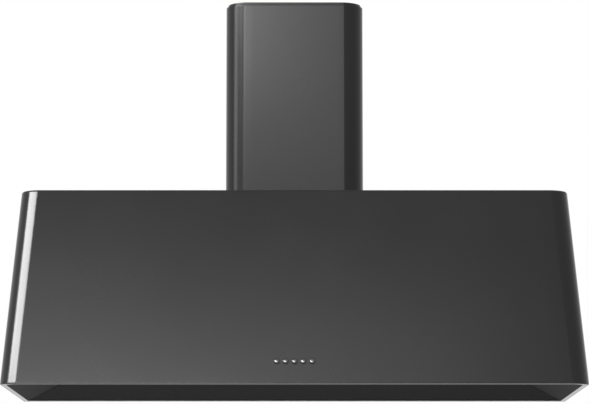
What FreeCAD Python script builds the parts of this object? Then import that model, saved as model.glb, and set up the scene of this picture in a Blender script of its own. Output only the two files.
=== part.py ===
# Wall-mounted chimney range hood: tapered canopy, filters, lamps, blower and telescopic flue.
# Millimetres. X runs across the wall, Y into the wall, Z up. The origin lies on the wall plane,
# at the middle of the hood and level with the bottom rim.

import FreeCAD
import Part
import Sketcher
import math
import os

SIZES = {
    # canopy skin
    "canopy_width": 1100.0,  # across the bottom rim
    "canopy_depth": 500.0,  # wall to front, at the bottom rim
    "canopy_height": 372.0,
    "top_width": 1039.0,
    "top_depth": 435.0,
    "corner_radius": 36.0,  # upright front corners
    "skin": 1.2,  # thickness of every painted sheet
    "rim_width": 12.0,
    "rim_bend": 1.8,  # outside radius of the fold round the rim
    "top_flange": 6.5,
    "fit_gap": 0.3,  # clearance between fitted pieces
    # underside pan
    "pan_sheet": 1.0,
    "margin_run": 72.0,  # sloping border, across
    "margin_rise": 29.0,
    "rear_lip": 16.0,
    "lamp_zone": 76.0,  # strip of the flat panel in front of the filters
    # grease filters
    "filter_width": 286.0,
    "filter_thickness": 9.0,
    "filter_pitch": 298.0,
    "filter_gap": 1.0,  # all round, in its aperture
    "filter_drop": 1.5,  # how far the filter stands below the panel
    "filter_bar": 13.0,
    "filter_front_bar": 28.0,
    "filter_sheet": 1.0,
    "tab_width": 14.0,
    "tab_reach": 7.0,
    "tab_spread": 200.0,
    "mesh_cover": 4.0,  # bar that stays clear of the mesh, for the latch
    "mesh_hole_width": 36.0,
    "mesh_hole_depth": 38.0,
    "mesh_pitch_x": 42.0,
    "mesh_pitch_y": 46.0,
    # filter latches
    "latch_width": 24.0,
    "latch_sheet": 1.6,
    "latch_length": 18.0,
    "latch_nose": 5.0,
    "latch_travel": 6.5,
    "grip_sheet": 2.5,
    "grip_drop": 7.0,
    "grip_reach": 8.0,
    # lamps
    "lamp_spread": 596.0,
    "lamp_inset": 33.0,  # lamp centre from the front edge of the flat panel
    "lamp_hole_radius": 25.0,
    "lamp_cup_radius": 28.0,
    "lamp_cup_height": 30.0,
    "lamp_wall": 1.5,
    "lamp_bezel_radius": 29.5,
    "lamp_bezel_sheet": 1.6,
    "lamp_bezel_wall": 1.8,
    "lamp_ledge": 1.4,
    "lamp_lens_sheet": 2.4,
    "lamp_board_side": 26.0,
    "lamp_board_sheet": 2.0,
    # push buttons, in the leaning front
    "button_pitch": 16.5,
    "button_rise": 42.6,  # up the front panel from the rim
    "button_count": 5,
    "button_radius": 4.1,
    "button_proud": 3.6,
    "button_length": 11.0,
    "button_travel": 2.6,
    "button_clearance": 0.08,
    "collar_radius": 5.4,
    "collar_proud": 0.9,
    "collar_depth": 4.0,
    "stem_length": 10.0,
    "stem_side": 2.6,
    "switch_margin": 15.0,  # housing past the outer buttons
    "switch_width": 18.0,
    "switch_depth": 26.0,
    "switch_stand_off": 12.0,
    "switch_foot": 9.0,
    "bracket_sheet": 1.5,
    # flue covers
    "flue_width": 270.0,
    "flue_depth": 262.0,
    "flue_radius": 38.0,
    "flue_return": 18.0,
    "flue_notch": 45.0,
    "lower_flue_height": 395.0,
    "upper_flue_foot": 12.0,  # above the canopy, slid right down
    "upper_flue_proud": 5.0,
    "flue_gap": 2.5,
    "flue_tab_width": 34.0,
    "flue_tab_reach": 16.0,
    "vent_slots": 7,
    "vent_slot_length": 60.0,
    "vent_slot_width": 5.0,
    "vent_slot_pitch": 11.0,
    "vent_below_top": 62.0,
    "flue_bracket_height": 30.0,
    "flue_bracket_arm": 40.0,
    "flue_screw_share": 0.6,  # how far out along the arm its screw stands
    "flue_bracket_below_top": 7.0,
    "flue_bracket_hole_spread": 200.0,
    "flue_bracket_hole_radius": 3.0,
    # outlet spigot and its flaps
    "spigot_radius": 74.5,  # outside, takes a 150 mm duct
    "spigot_wall": 2.0,
    "spigot_height": 48.0,
    "spigot_flange_side": 182.0,
    "spigot_flange_sheet": 2.5,
    "spigot_flange_radius": 12.0,
    "spigot_screw_inset": 9.0,
    "flap_gap": 2.5,
    "flap_sheet": 1.5,
    "flap_level": 16.0,  # hinge line above the canopy top
    "flap_pin_offset": 5.0,
    "flap_pin_radius": 1.5,
    "flap_knuckle_radius": 3.0,
    "flap_pin_clearance": 0.06,
    "seat_height": 2.0,
    "seat_lug": 7.0,
    # blower
    "fan_height": 207.0,
    "fan_radius": 92.0,
    "fan_half_width": 58.0,
    "fan_disc_sheet": 2.0,
    "fan_ring_width": 8.0,
    "fan_ring_sheet": 2.5,
    "fan_hub_radius": 13.0,
    "fan_hub_reach": 7.0,
    "blade_count": 22,
    "blade_sheet": 1.0,
    "blade_arc_radius": 11.0,
    "blade_arc_centre": 81.5,
    "blade_arc_drop": 6.0,
    "blade_start": 36.0,  # degrees on its own arc
    "blade_end": 112.0,
    "blade_flats": 3,
    "scroll_first_radius": 135.0,
    "scroll_step": 10.0,
    "tongue_offset": 25.0,
    "scroll_wall": 2.0,
    "scroll_half_width": 75.0,
    "mouth_flange": 9.0,
    "mouth_flange_sheet": 2.5,
    "shaft_tail": 6.0,
    "inlet_radius": 74.0,
    "motor_radius": 46.0,
    "motor_length": 64.0,
    "shaft_radius": 4.0,
    "shaft_clearance": 0.05,
    "arm_width": 16.0,
    "arm_sheet": 2.0,
    "arm_circle": 86.0,
    "grommet_radius": 7.0,
    "grommet_height": 6.0,
    "hanger_width": 24.0,
    "hanger_overlap": 26.0,
    "hanger_foot": 20.0,
    "hanger_from_wall": 262.0,
    # electrical parts inside the canopy
    "box_length": 150.0,
    "box_depth": 96.0,
    "box_height": 42.0,
    "box_wall": 2.5,
    "box_offset": 330.0,
    "box_from_wall": 190.0,
    "capacitor_radius": 17.0,
    "capacitor_length": 68.0,
    "capacitor_stud_radius": 4.0,
    "capacitor_stud_length": 12.0,
    "gland_radius": 9.0,
    "gland_thread_radius": 6.0,
    "gland_bore_radius": 4.0,
    "gland_height": 16.0,
    "gland_base": 5.0,
    "gland_cap_share": 0.85,  # of the base, across the flats
    "gland_nut": 4.0,
    "gland_offset": 108.0,
    "gland_from_wall": 34.0,
    # back panel and wall fixing
    "hook_spread": 400.0,
    "hook_opening_width": 64.0,
    "hook_opening_height": 66.0,
    "hook_below_top": 37.0,  # the edge that the hood hangs by
    "hook_width": 50.0,
    "hook_height": 56.0,
    "hook_sheet": 2.0,
    "hook_reach": 8.0,
    "hook_lip": 13.0,
    "hook_hole_radius": 3.5,
    "hook_hole_drop": 17.0,
    "hook_hole_pitch": 28.0,
    "safety_hole_radius": 4.5,
    "safety_hole_spread": 560.0,
    "safety_hole_level": 120.0,
    "rail_height": 40.0,
    "rail_depth": 14.0,
    "rail_level": 190.0,
    "rail_length": 940.0,
    # screws
    "screw_head_radius": 3.8,
    "screw_head": 2.0,
}

DOC = FreeCAD.newDocument("chimney_hood")
SHEET_NAME = "sizes"


class Size(float):
    """A number that keeps the formula of sheet cells it was worked out from."""

    def __new__(cls, value, text=None):
        made = super().__new__(cls, value)
        made.text = text or repr(float(value))
        return made

    def joined(self, other, sign, value, swapped=False):
        first, second = (size(other), self) if swapped else (self, size(other))
        return Size(value, f"({first.text} {sign} {second.text})")

    def __add__(self, other):
        return self.joined(other, "+", float(self) + float(other))

    def __radd__(self, other):
        return self.joined(other, "+", float(other) + float(self), True)

    def __sub__(self, other):
        return self.joined(other, "-", float(self) - float(other))

    def __rsub__(self, other):
        return self.joined(other, "-", float(other) - float(self), True)

    def __mul__(self, other):
        return self.joined(other, "*", float(self) * float(other))

    def __rmul__(self, other):
        return self.joined(other, "*", float(other) * float(self), True)

    def __truediv__(self, other):
        return self.joined(other, "/", float(self) / float(other))

    def __neg__(self):
        return Size(-float(self), f"(0 - {self.text})")


def size(value):
    return value if isinstance(value, Size) else Size(value)


def root(value):
    return Size(math.sqrt(value), f"sqrt({value.text})")


def sine(degrees):
    return Size(math.sin(math.radians(degrees)), f"sin({size(degrees).text} * 1 deg)")


def cosine(degrees):
    return Size(math.cos(math.radians(degrees)), f"cos({size(degrees).text} * 1 deg)")


class Sizes:
    """The driving dimensions, read by name from the document's sheet."""

    def __init__(self, table):
        sheet = DOC.addObject("Spreadsheet::Sheet", SHEET_NAME)
        for row, (name, value) in enumerate(table.items(), start=1):
            sheet.set(f"A{row}", name)
            sheet.set(f"B{row}", str(value))
            sheet.setAlias(f"B{row}", name)
            setattr(self, name, Size(value, f"{SHEET_NAME}.{name}"))
        DOC.recompute()


S = Sizes(SIZES)


# ---- small modelling helpers -------------------------------------------------------------


def bind(thing, path, value):
    """Ties one property of an object to a formula of the sheet."""
    thing.setExpression(path, size(value).text)


def place(thing, x=0, y=0, z=0):
    for axis, value in zip("xyz", (x, y, z)):
        bind(thing, f"Placement.Base.{axis}", value)
    return thing


def turned(thing, axis, angle, x=0, y=0, z=0):
    """Places an object turned about an axis through its own origin; the angle is in degrees."""
    thing.Placement = FreeCAD.Placement(FreeCAD.Vector(), FreeCAD.Rotation(FreeCAD.Vector(*axis), float(angle)))
    return place(thing, x, y, z)


def box(name, low, high):
    """A block between two corners."""
    made = DOC.addObject("Part::Box", name)
    for prop, a, b in zip(("Length", "Width", "Height"), low, high):
        bind(made, prop, size(b) - a)
    return place(made, *low)


def rod(name, radius, length, x=0, y=0, z=0, axis="z"):
    """A cylinder that starts at a point and runs along +X, +Y or +Z."""
    made = DOC.addObject("Part::Cylinder", name)
    bind(made, "Radius", radius)
    bind(made, "Height", length)
    turns = {"x": ((0, 1, 0), 90), "y": ((1, 0, 0), -90), "z": ((0, 0, 1), 0)}
    return turned(made, *turns[axis], x, y, z)


def fuse(name, shapes):
    made = DOC.addObject("Part::MultiFuse", name)
    made.Shapes = shapes
    made.Refine = True
    return made


def cut(name, base, tools):
    made = DOC.addObject("Part::Cut", name)
    made.Base = base
    made.Tool = tools[0] if len(tools) == 1 else fuse(name + "_tools", tools)
    return made


def group(name, solids):
    """Separate solids that share one node."""
    made = DOC.addObject("Part::Compound", name)
    made.Links = solids
    return made


def new_body(name):
    return DOC.addObject("PartDesign::Body", name)


def sketch(body, name, plane="XY_Plane", level=0):
    """A sketch on one of the body's own origin planes, moved along its normal."""
    made = body.newObject("Sketcher::SketchObject", name)
    support = next(f for f in body.Origin.OriginFeatures if f.Role == plane)
    made.AttachmentSupport = [(support, "")]
    made.MapMode = "FlatFace"
    bind(made, "AttachmentOffset.Base.z", level)
    return made


def fix_point(drawing, geometry, position, x, y):
    for kind, value in (("DistanceX", x), ("DistanceY", y)):
        fix(drawing, Sketcher.Constraint(kind, geometry, position, float(value)), value)


def fix(drawing, constraint, value):
    index = drawing.addConstraint(constraint)
    drawing.setExpression(f"Constraints[{index}]", size(value).text)


def circle(drawing, radius, x=0, y=0):
    centre = FreeCAD.Vector(float(x), float(y), 0)
    index = drawing.addGeometry(Part.Circle(centre, FreeCAD.Vector(0, 0, 1), float(radius)), False)
    fix_point(drawing, index, 3, x, y)
    fix(drawing, Sketcher.Constraint("Radius", index, float(radius)), radius)


def rectangle(drawing, x_low, x_high, y_low, y_high):
    outline(drawing, [(x_low, y_low), (x_high, y_low), (x_high, y_high), (x_low, y_high)])


def outline(drawing, corners):
    """A closed outline through the corners; a third value rounds a square corner."""
    steps = []
    count = len(corners)
    for i, corner in enumerate(corners):
        if len(corner) == 2:
            steps.append(corner)
            continue
        x, y, radius = corner
        back = heading(corner, corners[i - 1])
        forth = heading(corner, corners[(i + 1) % count])
        centre = (x + radius * (back[0] + forth[0]), y + radius * (back[1] + forth[1]))
        turn = back[1] * forth[0] - back[0] * forth[1]
        steps.append((x + radius * back[0], y + radius * back[1]))
        steps.append((x + radius * forth[0], y + radius * forth[1], *centre, turn))
    chain(drawing, steps[-1], steps)


def heading(start, end):
    """The one of four directions, along X or Y, in which one point lies from another."""
    x, y = end[0] - start[0], end[1] - start[1]
    return (int(math.copysign(1, x)), 0) if abs(x) > abs(y) else (0, int(math.copysign(1, y)))


def chain(drawing, start, steps):
    """A closed outline of lines and arcs: a step is (x, y), or (x, y, centre x, centre y, turn)."""
    here = start
    made = []
    for step in steps:
        a, b = (FreeCAD.Vector(float(p[0]), float(p[1]), 0) for p in (here, step))
        if len(step) == 2:
            made.append(drawing.addGeometry(Part.LineSegment(a, b), False))
        else:
            centre = FreeCAD.Vector(float(step[2]), float(step[3]), 0)
            first, last = (a, b) if step[4] > 0 else (b, a)
            ring = Part.Circle(centre, FreeCAD.Vector(0, 0, 1), (a - centre).Length)
            angles = [math.atan2(p.y - centre.y, p.x - centre.x) for p in (first, last)]
            made.append(drawing.addGeometry(Part.ArcOfCircle(ring, *angles), False))
        here = step
    for i, step in enumerate(steps):
        ends = [(2, 1) if len(s) > 2 and s[4] < 0 else (1, 2) for s in (steps[i - 1], step)]
        drawing.addConstraint(
            Sketcher.Constraint("Coincident", made[i - 1], ends[0][1], made[i], ends[1][0])
        )
        fix_point(drawing, made[i], ends[1][1], step[0], step[1])
        if len(step) > 2:
            before = start if i == 0 else steps[i - 1]
            flat = abs(step[0] - before[0]) > abs(step[1] - before[1])
            kind, value = ("DistanceY", step[3]) if flat else ("DistanceX", step[2])
            fix(drawing, Sketcher.Constraint(kind, made[i], 3, float(value)), value)


def feature(body, kind, name, profile=None, **settings):
    """Adds a PartDesign feature and makes it the body's tip."""
    made = body.newObject("PartDesign::" + kind, name)
    if profile is not None:
        made.Profile = profile
    for key, value in settings.items():
        if isinstance(value, Size):
            bind(made, key, value)
        else:
            setattr(made, key, value)
    body.Tip = made
    return made


def pad(body, profile, length, **settings):
    return feature(body, "Pad", profile.Name + "_pad", profile, Length=size(length), **settings)


def pocket(body, profile, length, **settings):
    return feature(body, "Pocket", profile.Name + "_pocket", profile, Length=size(length), **settings)


def hollow(body, profile, **settings):
    """A pocket right through the body, both ways."""
    return feature(body, "Pocket", profile.Name + "_hollow", profile, Type="ThroughAll", **settings)


def frustum(body, kind, name, low, high):
    """A block with leaning sides between two levels: (height, half width, rear and front from the wall)."""
    made = body.newObject("PartDesign::" + kind, name)
    made.AttachmentSupport = [(body.Origin.OriginFeatures[3], "")]
    made.MapMode = "FlatFace"
    turn = FreeCAD.Rotation(FreeCAD.Vector(1, 0, 0), 90)
    made.AttachmentOffset = FreeCAD.Placement(FreeCAD.Vector(), turn)
    for prefix, (_, half, rear, front) in (("", low), ("2", high)):
        for prop, value in (("Xmin", -half), ("Xmax", half), ("Zmin", rear), ("Zmax", front)):
            bind(made, prop[0] + prefix + prop[1:], value)
    bind(made, "Ymin", low[0])
    bind(made, "Ymax", high[0])
    body.Tip = made
    return made


def edges(made, wanted):
    """The names of a feature's edges that pass a test."""
    DOC.recompute()
    return [f"Edge{i}" for i, edge in enumerate(made.Shape.Edges, start=1) if wanted(edge)]


def faces(made, wanted):
    """The names of a feature's faces that pass a test."""
    DOC.recompute()
    return [f"Face{i}" for i, face in enumerate(made.Shape.Faces, start=1) if wanted(face)]


def ring_edges(outer, inner, drawing, x=0, y=0):
    circle(drawing, outer, x, y)
    circle(drawing, inner, x, y)


def pattern(body, name, support, axis, length, count):
    made = body.newObject("PartDesign::LinearPattern", name)
    made.Direction = (support, [axis])
    bind(made, "Length", length)
    bind(made, "Occurrences", count)
    return made


def spin(body, profile):
    """A full turn of a profile about the upright axis of its sketch."""
    return feature(body, "Revolution", profile.Name + "_turn", profile, ReferenceAxis=(profile, ["V_Axis"]))


def along_x(body, name, points, low, length):
    """An outline in Y and Z, drawn out along X."""
    drawing = sketch(body, name, "YZ_Plane", low)
    outline(drawing, points)
    return pad(body, drawing, length)


# ---- lines that several pieces share -------------------------------------------------------

FRONT_RUN = S.canopy_depth - S.top_depth
LEAN = Size(
    math.degrees(math.atan(FRONT_RUN / S.canopy_height)),
    f"(atan({FRONT_RUN.text} / {S.canopy_height.text}) / 1 deg)",
)
TOP_UNDER = S.canopy_height - S.skin  # underside of the top panel
PANEL_UNDER = S.skin + S.margin_rise  # underside of the flat filter panel
PANEL_TOP = PANEL_UNDER + S.pan_sheet
BORDER = S.rim_width + S.margin_run
FILTER_DEPTH = S.canopy_depth - BORDER * 2 - S.rear_lip - S.lamp_zone
HINGE_Y = -(BORDER + S.rear_lip)  # front edge of the lip that the filters hang on
LAMP_Y = BORDER + S.lamp_inset - S.canopy_depth
FLUE_Y = -S.flue_depth / 2  # middle of the flue, spigot and blower mouth
SPIGOT_BORE = S.spigot_radius - S.spigot_wall
SCROLL_OUT = S.scroll_first_radius + S.scroll_step / 2  # outer wall of the mouth, from the fan axis
FAN_Y = FLUE_Y - (S.tongue_offset + SCROLL_OUT) / 2
SCROLL_MOUTH = TOP_UNDER - S.fan_height  # the mouth meets the top panel
FLUE_TOP = S.canopy_height + S.lower_flue_height
UPPER_TOP = FLUE_TOP + S.upper_flue_proud
UPPER_INSET = S.skin + S.flue_gap
ARM_X = S.scroll_half_width + S.grommet_height  # inner face of the motor bracket
HOOK_LEVEL = S.canopy_height - S.hook_below_top
OVERCUT = S.skin  # how far a cutting form reaches past an open side

NODES = {}


def node(name, thing):
    thing.Label = name
    NODES[name] = thing
    return thing


def canopy_outline(drawing, level, inset, rear):
    """The canopy's plan at a height, moved in from its outer skin."""
    share = size(level) / S.canopy_height
    half = S.canopy_width / 2 - (S.canopy_width - S.top_width) / 2 * share - inset
    front = FRONT_RUN * share + inset - S.canopy_depth
    radius = S.corner_radius
    outline(drawing, [(-half, rear), (-half, front, radius), (half, front, radius), (half, rear)])


def flue_outline(drawing, inset):
    half = S.flue_width / 2 - inset
    front = inset - S.flue_depth
    radius = S.flue_radius - inset
    outline(drawing, [(-half, -inset), (-half, front, radius), (half, front, radius), (half, -inset)])


def on_front(thing, x=0):
    """Puts a piece on the leaning front: its own Z points out of the panel, its Y up the panel."""
    turned(
        thing,
        (1, 0, 0),
        90 - LEAN,
        x,
        S.button_rise * sine(LEAN) - S.canopy_depth,
        S.button_rise * cosine(LEAN),
    )
    thing.setExpression("Placement.Rotation.Angle", f"(90 - {LEAN.text}) * 1 deg")
    return thing


def button_places():
    middle = (S.button_count - 1) / 2
    return [S.button_pitch * (i - middle) for i in range(int(S.button_count))]


def filter_places():
    return {"left": -S.filter_pitch, "centre": S.filter_pitch * 0, "right": S.filter_pitch}


def foot_screw_places():
    """Screws into the fixing tabs at the foot of the flue, one on each side."""
    x = S.flue_width / 2 - S.skin - S.flue_tab_reach / 2
    return [(x * side, FLUE_Y) for side in (-1, 1)]


def spigot_screw_places():
    reach = S.spigot_flange_side / 2 - S.spigot_screw_inset
    return [(x * reach, FLUE_Y + y * reach) for x in (-1, 1) for y in (-1, 1)]


# ---- canopy --------------------------------------------------------------------------------


def canopy_shell():
    """Front and sides of the canopy in one sheet, folded in to a rim round the bottom."""
    body = new_body("canopy_shell")
    block = frustum(
        body,
        "AdditiveWedge",
        "skin_block",
        (size(0), S.canopy_width / 2, size(0), S.canopy_depth),
        (S.canopy_height, S.top_width / 2, size(0), S.top_depth),
    )
    corners = edges(block, lambda e: e.BoundBox.ZLength > 1 and e.BoundBox.YMax < -1)
    rounded = feature(body, "Fillet", "skin_corners", Base=(block, corners), Radius=S.corner_radius)
    sides = faces(rounded, lambda f: f.BoundBox.YMin > -1 or f.BoundBox.ZMin > S.canopy_height - 1)
    skin = feature(body, "Thickness", "skin", Base=(rounded, sides), Value=S.skin, Reversed=True, Join=1)
    rim = edges(skin, lambda e: e.BoundBox.ZMax < 1e-6 and e.BoundBox.YMin < -1 and e.BoundBox.XLength > 0.1)
    feature(body, "Fillet", "rim_bend", Base=(skin, rim), Radius=S.rim_bend)
    opening = sketch(body, "rim_opening", level=S.skin)
    canopy_outline(opening, 0, S.rim_width, OVERCUT)
    pocket(body, opening, S.skin)
    holes = sketch(body, "collar_holes", "XZ_Plane")
    turn = FreeCAD.Rotation(FreeCAD.Vector(-1, 0, 0), float(LEAN))
    outside = S.canopy_depth + OVERCUT
    holes.AttachmentOffset = FreeCAD.Placement(FreeCAD.Vector(0, 0, float(outside)), turn)
    bind(holes, "AttachmentOffset.Base.z", outside)
    holes.setExpression("AttachmentOffset.Rotation.Angle", f"{LEAN.text} * 1 deg")
    for x in button_places():
        circle(holes, S.collar_radius, x, S.button_rise + OVERCUT * sine(LEAN))
    pocket(body, holes, OVERCUT + S.skin * 2)
    node("canopy_shell", body)


def canopy_top():
    """Top panel with a flange turned down inside the skin, open to the blower and the screws."""
    body = new_body("canopy_top")
    inset = S.skin + S.fit_gap
    flange = sketch(body, "top_flange", level=TOP_UNDER - S.top_flange)
    canopy_outline(flange, S.canopy_height, inset, -inset)
    pad(body, flange, S.top_flange)
    plate = sketch(body, "top_plate", level=TOP_UNDER)
    canopy_outline(plate, S.canopy_height, inset, 0)
    pad(body, plate, S.skin)
    cavity = sketch(body, "top_cavity", level=TOP_UNDER)
    canopy_outline(cavity, S.canopy_height, inset + S.skin, -inset - S.skin)
    pocket(body, cavity, S.top_flange)
    holes = sketch(body, "top_holes", level=S.canopy_height)
    half = S.scroll_half_width - S.scroll_wall
    rectangle(holes, -half, half, FAN_Y + S.tongue_offset, FAN_Y + SCROLL_OUT)
    circle(holes, S.gland_thread_radius + S.fit_gap, S.gland_offset, -S.gland_from_wall)
    hollow(body, holes)
    node("canopy_top", body)


def back_panel():
    """Back plate with side flanges, a rim along the bottom and the openings that it hangs by."""
    body = new_body("back_panel")
    low = S.skin + S.pan_sheet + S.fit_gap
    high = TOP_UNDER - S.top_flange - S.fit_gap
    inset = S.skin + S.fit_gap

    def half(level):
        return S.canopy_width / 2 - (S.canopy_width - S.top_width) / 2 * level / S.canopy_height - inset

    plate = sketch(body, "back_plate", "XZ_Plane")
    ends = (low, TOP_UNDER)
    outline(plate, [(-half(low), low), (half(low), low), (half(ends[1]), ends[1]), (-half(ends[1]), ends[1])])
    pad(body, plate, S.skin)
    flanges = sketch(body, "side_flanges", "XZ_Plane")
    for side in (-1, 1):
        a, b = half(low) * side, half(high) * side
        inner = S.skin * side
        outline(flanges, [(a, low), (b, high), (b - inner, high), (a - inner, low)])
    pad(body, flanges, S.rim_width)
    rim_half = S.canopy_width / 2 - S.rim_width - S.fit_gap
    rim = [
        (size(0), size(0)),
        (size(0), low),
        (-S.skin, low),
        (-S.skin, S.skin),
        (-S.rim_width, S.skin),
        (-S.rim_width, size(0)),
    ]
    along_x(body, "rear_rim", rim, -rim_half, rim_half * 2)
    openings = sketch(body, "wall_openings", "XZ_Plane", S.rim_width)
    for side in (-1, 1):
        x = S.hook_spread / 2 * side
        wide = S.hook_opening_width / 2
        rectangle(openings, x - wide, x + wide, HOOK_LEVEL - S.hook_opening_height, HOOK_LEVEL)
        circle(openings, S.safety_hole_radius, S.safety_hole_spread / 2 * side, S.safety_hole_level)
    hollow(body, openings)
    node("back_panel", body)


def rear_stiffener():
    """Channel that stiffens the back plate."""
    body = new_body("rear_stiffener")
    low = S.rail_level - S.rail_height / 2
    high = S.rail_level + S.rail_height / 2
    web = -S.skin - S.rail_depth
    points = [
        (-S.skin, low),
        (-S.skin, low + S.skin),
        (web + S.skin, low + S.skin),
        (web + S.skin, high - S.skin),
        (-S.skin, high - S.skin),
        (-S.skin, high),
        (web, high),
        (web, low),
    ]
    along_x(body, "rail_profile", points, -S.rail_length / 2, S.rail_length)
    node("rear_stiffener", body)


def underside_pan():
    """Dished panel inside the rim: a sloping border round a flat panel with its apertures."""
    body = new_body("underside_pan")
    seat = S.skin + S.fit_gap * 2
    flange = sketch(body, "pan_flange", level=S.skin)
    canopy_outline(flange, 0, seat, -seat)
    pad(body, flange, S.pan_sheet)
    for kind, lift in (("AdditiveWedge", S.pan_sheet), ("SubtractiveWedge", size(0))):
        levels = []
        for level, inset in ((S.skin, S.rim_width), (PANEL_UNDER, BORDER)):
            levels.append((level + lift, S.canopy_width / 2 - inset, inset, S.canopy_depth - inset))
        frustum(body, kind, f"border_{kind}", *levels)
    apertures = sketch(body, "apertures", level=PANEL_TOP)
    wide = S.filter_width / 2 + S.filter_gap
    for x in filter_places().values():
        rectangle(apertures, x - wide, x + wide, HINGE_Y - FILTER_DEPTH - S.filter_gap * 2, HINGE_Y)
    for side in (-1, 1):
        circle(apertures, S.lamp_hole_radius, S.lamp_spread / 2 * side, LAMP_Y)
    pocket(body, apertures, S.pan_sheet)
    node("underside_pan", body)


# ---- grease filters ------------------------------------------------------------------------

FILTER_LOW = -S.pan_sheet - S.filter_drop  # filter's underside, from the top of the flat panel
FILTER_HIGH = FILTER_LOW + S.filter_thickness
FILTER_BACK = -S.filter_gap
FILTER_FRONT = FILTER_BACK - FILTER_DEPTH
NOSE_TIP = FILTER_FRONT - S.latch_nose
LATCH_END = NOSE_TIP + S.latch_length


def filter_frame(name, x):
    """Channel frame round the mesh; its rear tabs rest on the lip, and its origin is that hinge."""
    body = new_body(name)
    half = S.filter_width / 2
    outside = sketch(body, name + "_outside", level=FILTER_LOW)
    rectangle(outside, -half, half, FILTER_FRONT, FILTER_BACK)
    pad(body, outside, S.filter_thickness)
    channel = sketch(body, name + "_channel", level=FILTER_HIGH - S.filter_sheet)
    wall = half - S.filter_sheet
    rectangle(channel, -wall, wall, FILTER_FRONT + S.filter_sheet, FILTER_BACK - S.filter_sheet)
    pocket(body, channel, S.filter_thickness - S.filter_sheet * 2)
    window = sketch(body, name + "_window", level=FILTER_HIGH)
    bar = half - S.filter_bar
    rectangle(window, -bar, bar, FILTER_FRONT + S.filter_front_bar, FILTER_BACK - S.filter_bar)
    hollow(body, window)
    tabs = sketch(body, name + "_tabs", level=S.fit_gap)
    for side in (-1, 1):
        middle = S.tab_spread / 2 * side
        low, high = middle - S.tab_width / 2, middle + S.tab_width / 2
        rectangle(tabs, low, high, FILTER_BACK - S.filter_sheet, S.tab_reach)
    pad(body, tabs, S.filter_sheet)
    reach = S.latch_width / 2 + S.fit_gap
    front_slot = sketch(body, name + "_front_slot", "XZ_Plane", -FILTER_FRONT)
    rectangle(front_slot, -reach, reach, 0, S.fit_gap * 2 + S.latch_sheet)
    pocket(body, front_slot, S.filter_sheet)
    grip_slot = sketch(body, name + "_grip_slot", level=FILTER_LOW + S.filter_sheet)
    front = LATCH_END - S.grip_sheet - S.fit_gap
    rectangle(grip_slot, -reach, reach, front, LATCH_END + S.latch_travel + S.fit_gap)
    pocket(body, grip_slot, S.filter_sheet)
    node(name, place(body, x, HINGE_Y, PANEL_TOP))


def filter_mesh(name, x):
    """Pack of expanded sheet inside the frame, with a diamond opening repeated both ways."""
    body = new_body(name)
    gap = S.filter_sheet + S.fit_gap
    half = S.filter_width / 2 - gap
    front = FILTER_FRONT + S.filter_front_bar - S.mesh_cover
    rear = FILTER_BACK - gap
    high = FILTER_HIGH - gap
    pack = sketch(body, name + "_pack", level=FILTER_LOW + gap)
    rectangle(pack, -half, half, front, rear)
    pad(body, pack, S.filter_thickness - gap * 2)
    columns = int((S.filter_width - S.filter_bar * 2) / S.mesh_pitch_x)
    rows = int((FILTER_DEPTH - S.filter_bar - S.filter_front_bar) / S.mesh_pitch_y)
    first_x = -S.mesh_pitch_x * (columns - 1) / 2
    middle_y = (FILTER_FRONT + S.filter_front_bar + FILTER_BACK - S.filter_bar) / 2
    first_y = middle_y - S.mesh_pitch_y * (rows - 1) / 2
    wide, deep = S.mesh_hole_width / 2, S.mesh_hole_depth / 2
    diamond = sketch(body, name + "_diamond", level=high)
    outline(
        diamond,
        [(first_x - wide, first_y), (first_x, first_y - deep), (first_x + wide, first_y), (first_x, first_y + deep)],
    )
    opening = hollow(body, diamond)
    grid = body.newObject("PartDesign::MultiTransform", name + "_grid")
    grid.Originals = [opening]
    grid.Transformations = [
        pattern(body, name + "_columns", diamond, "H_Axis", S.mesh_pitch_x * (columns - 1), columns),
        pattern(body, name + "_rows", diamond, "V_Axis", S.mesh_pitch_y * (rows - 1), rows),
    ]
    body.Tip = grid
    node(name, place(body, x, HINGE_Y, PANEL_TOP))


def filter_latch(name, x):
    """Sliding catch: a nose over the front lip, a web through the frame and a finger grip."""
    body = new_body(name)
    low, high = S.fit_gap, S.fit_gap + S.latch_sheet
    foot = FILTER_LOW - S.grip_drop
    web = LATCH_END - S.grip_sheet
    tip = web - S.grip_reach
    points = [
        (NOSE_TIP, low),
        (web, low),
        (web, foot + S.grip_sheet),
        (tip, foot + S.grip_sheet),
        (tip, foot),
        (LATCH_END, foot, S.grip_sheet),
        (LATCH_END, high),
        (NOSE_TIP, high),
    ]
    along_x(body, name + "_profile", points, -S.latch_width / 2, S.latch_width)
    node(name, place(body, x, HINGE_Y, PANEL_TOP))


def filters():
    for side, x in filter_places().items():
        filter_frame(f"filter_frame_{side}", x)
        filter_mesh(f"filter_mesh_{side}", x)
        filter_latch(f"filter_latch_{side}", x)


# ---- lamps ---------------------------------------------------------------------------------


def turned_piece(name, points):
    """A body turned from a half profile of radius and height."""
    body = new_body(name)
    profile = sketch(body, name + "_profile", "XZ_Plane")
    outline(profile, points)
    spin(body, profile)
    return body


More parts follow.
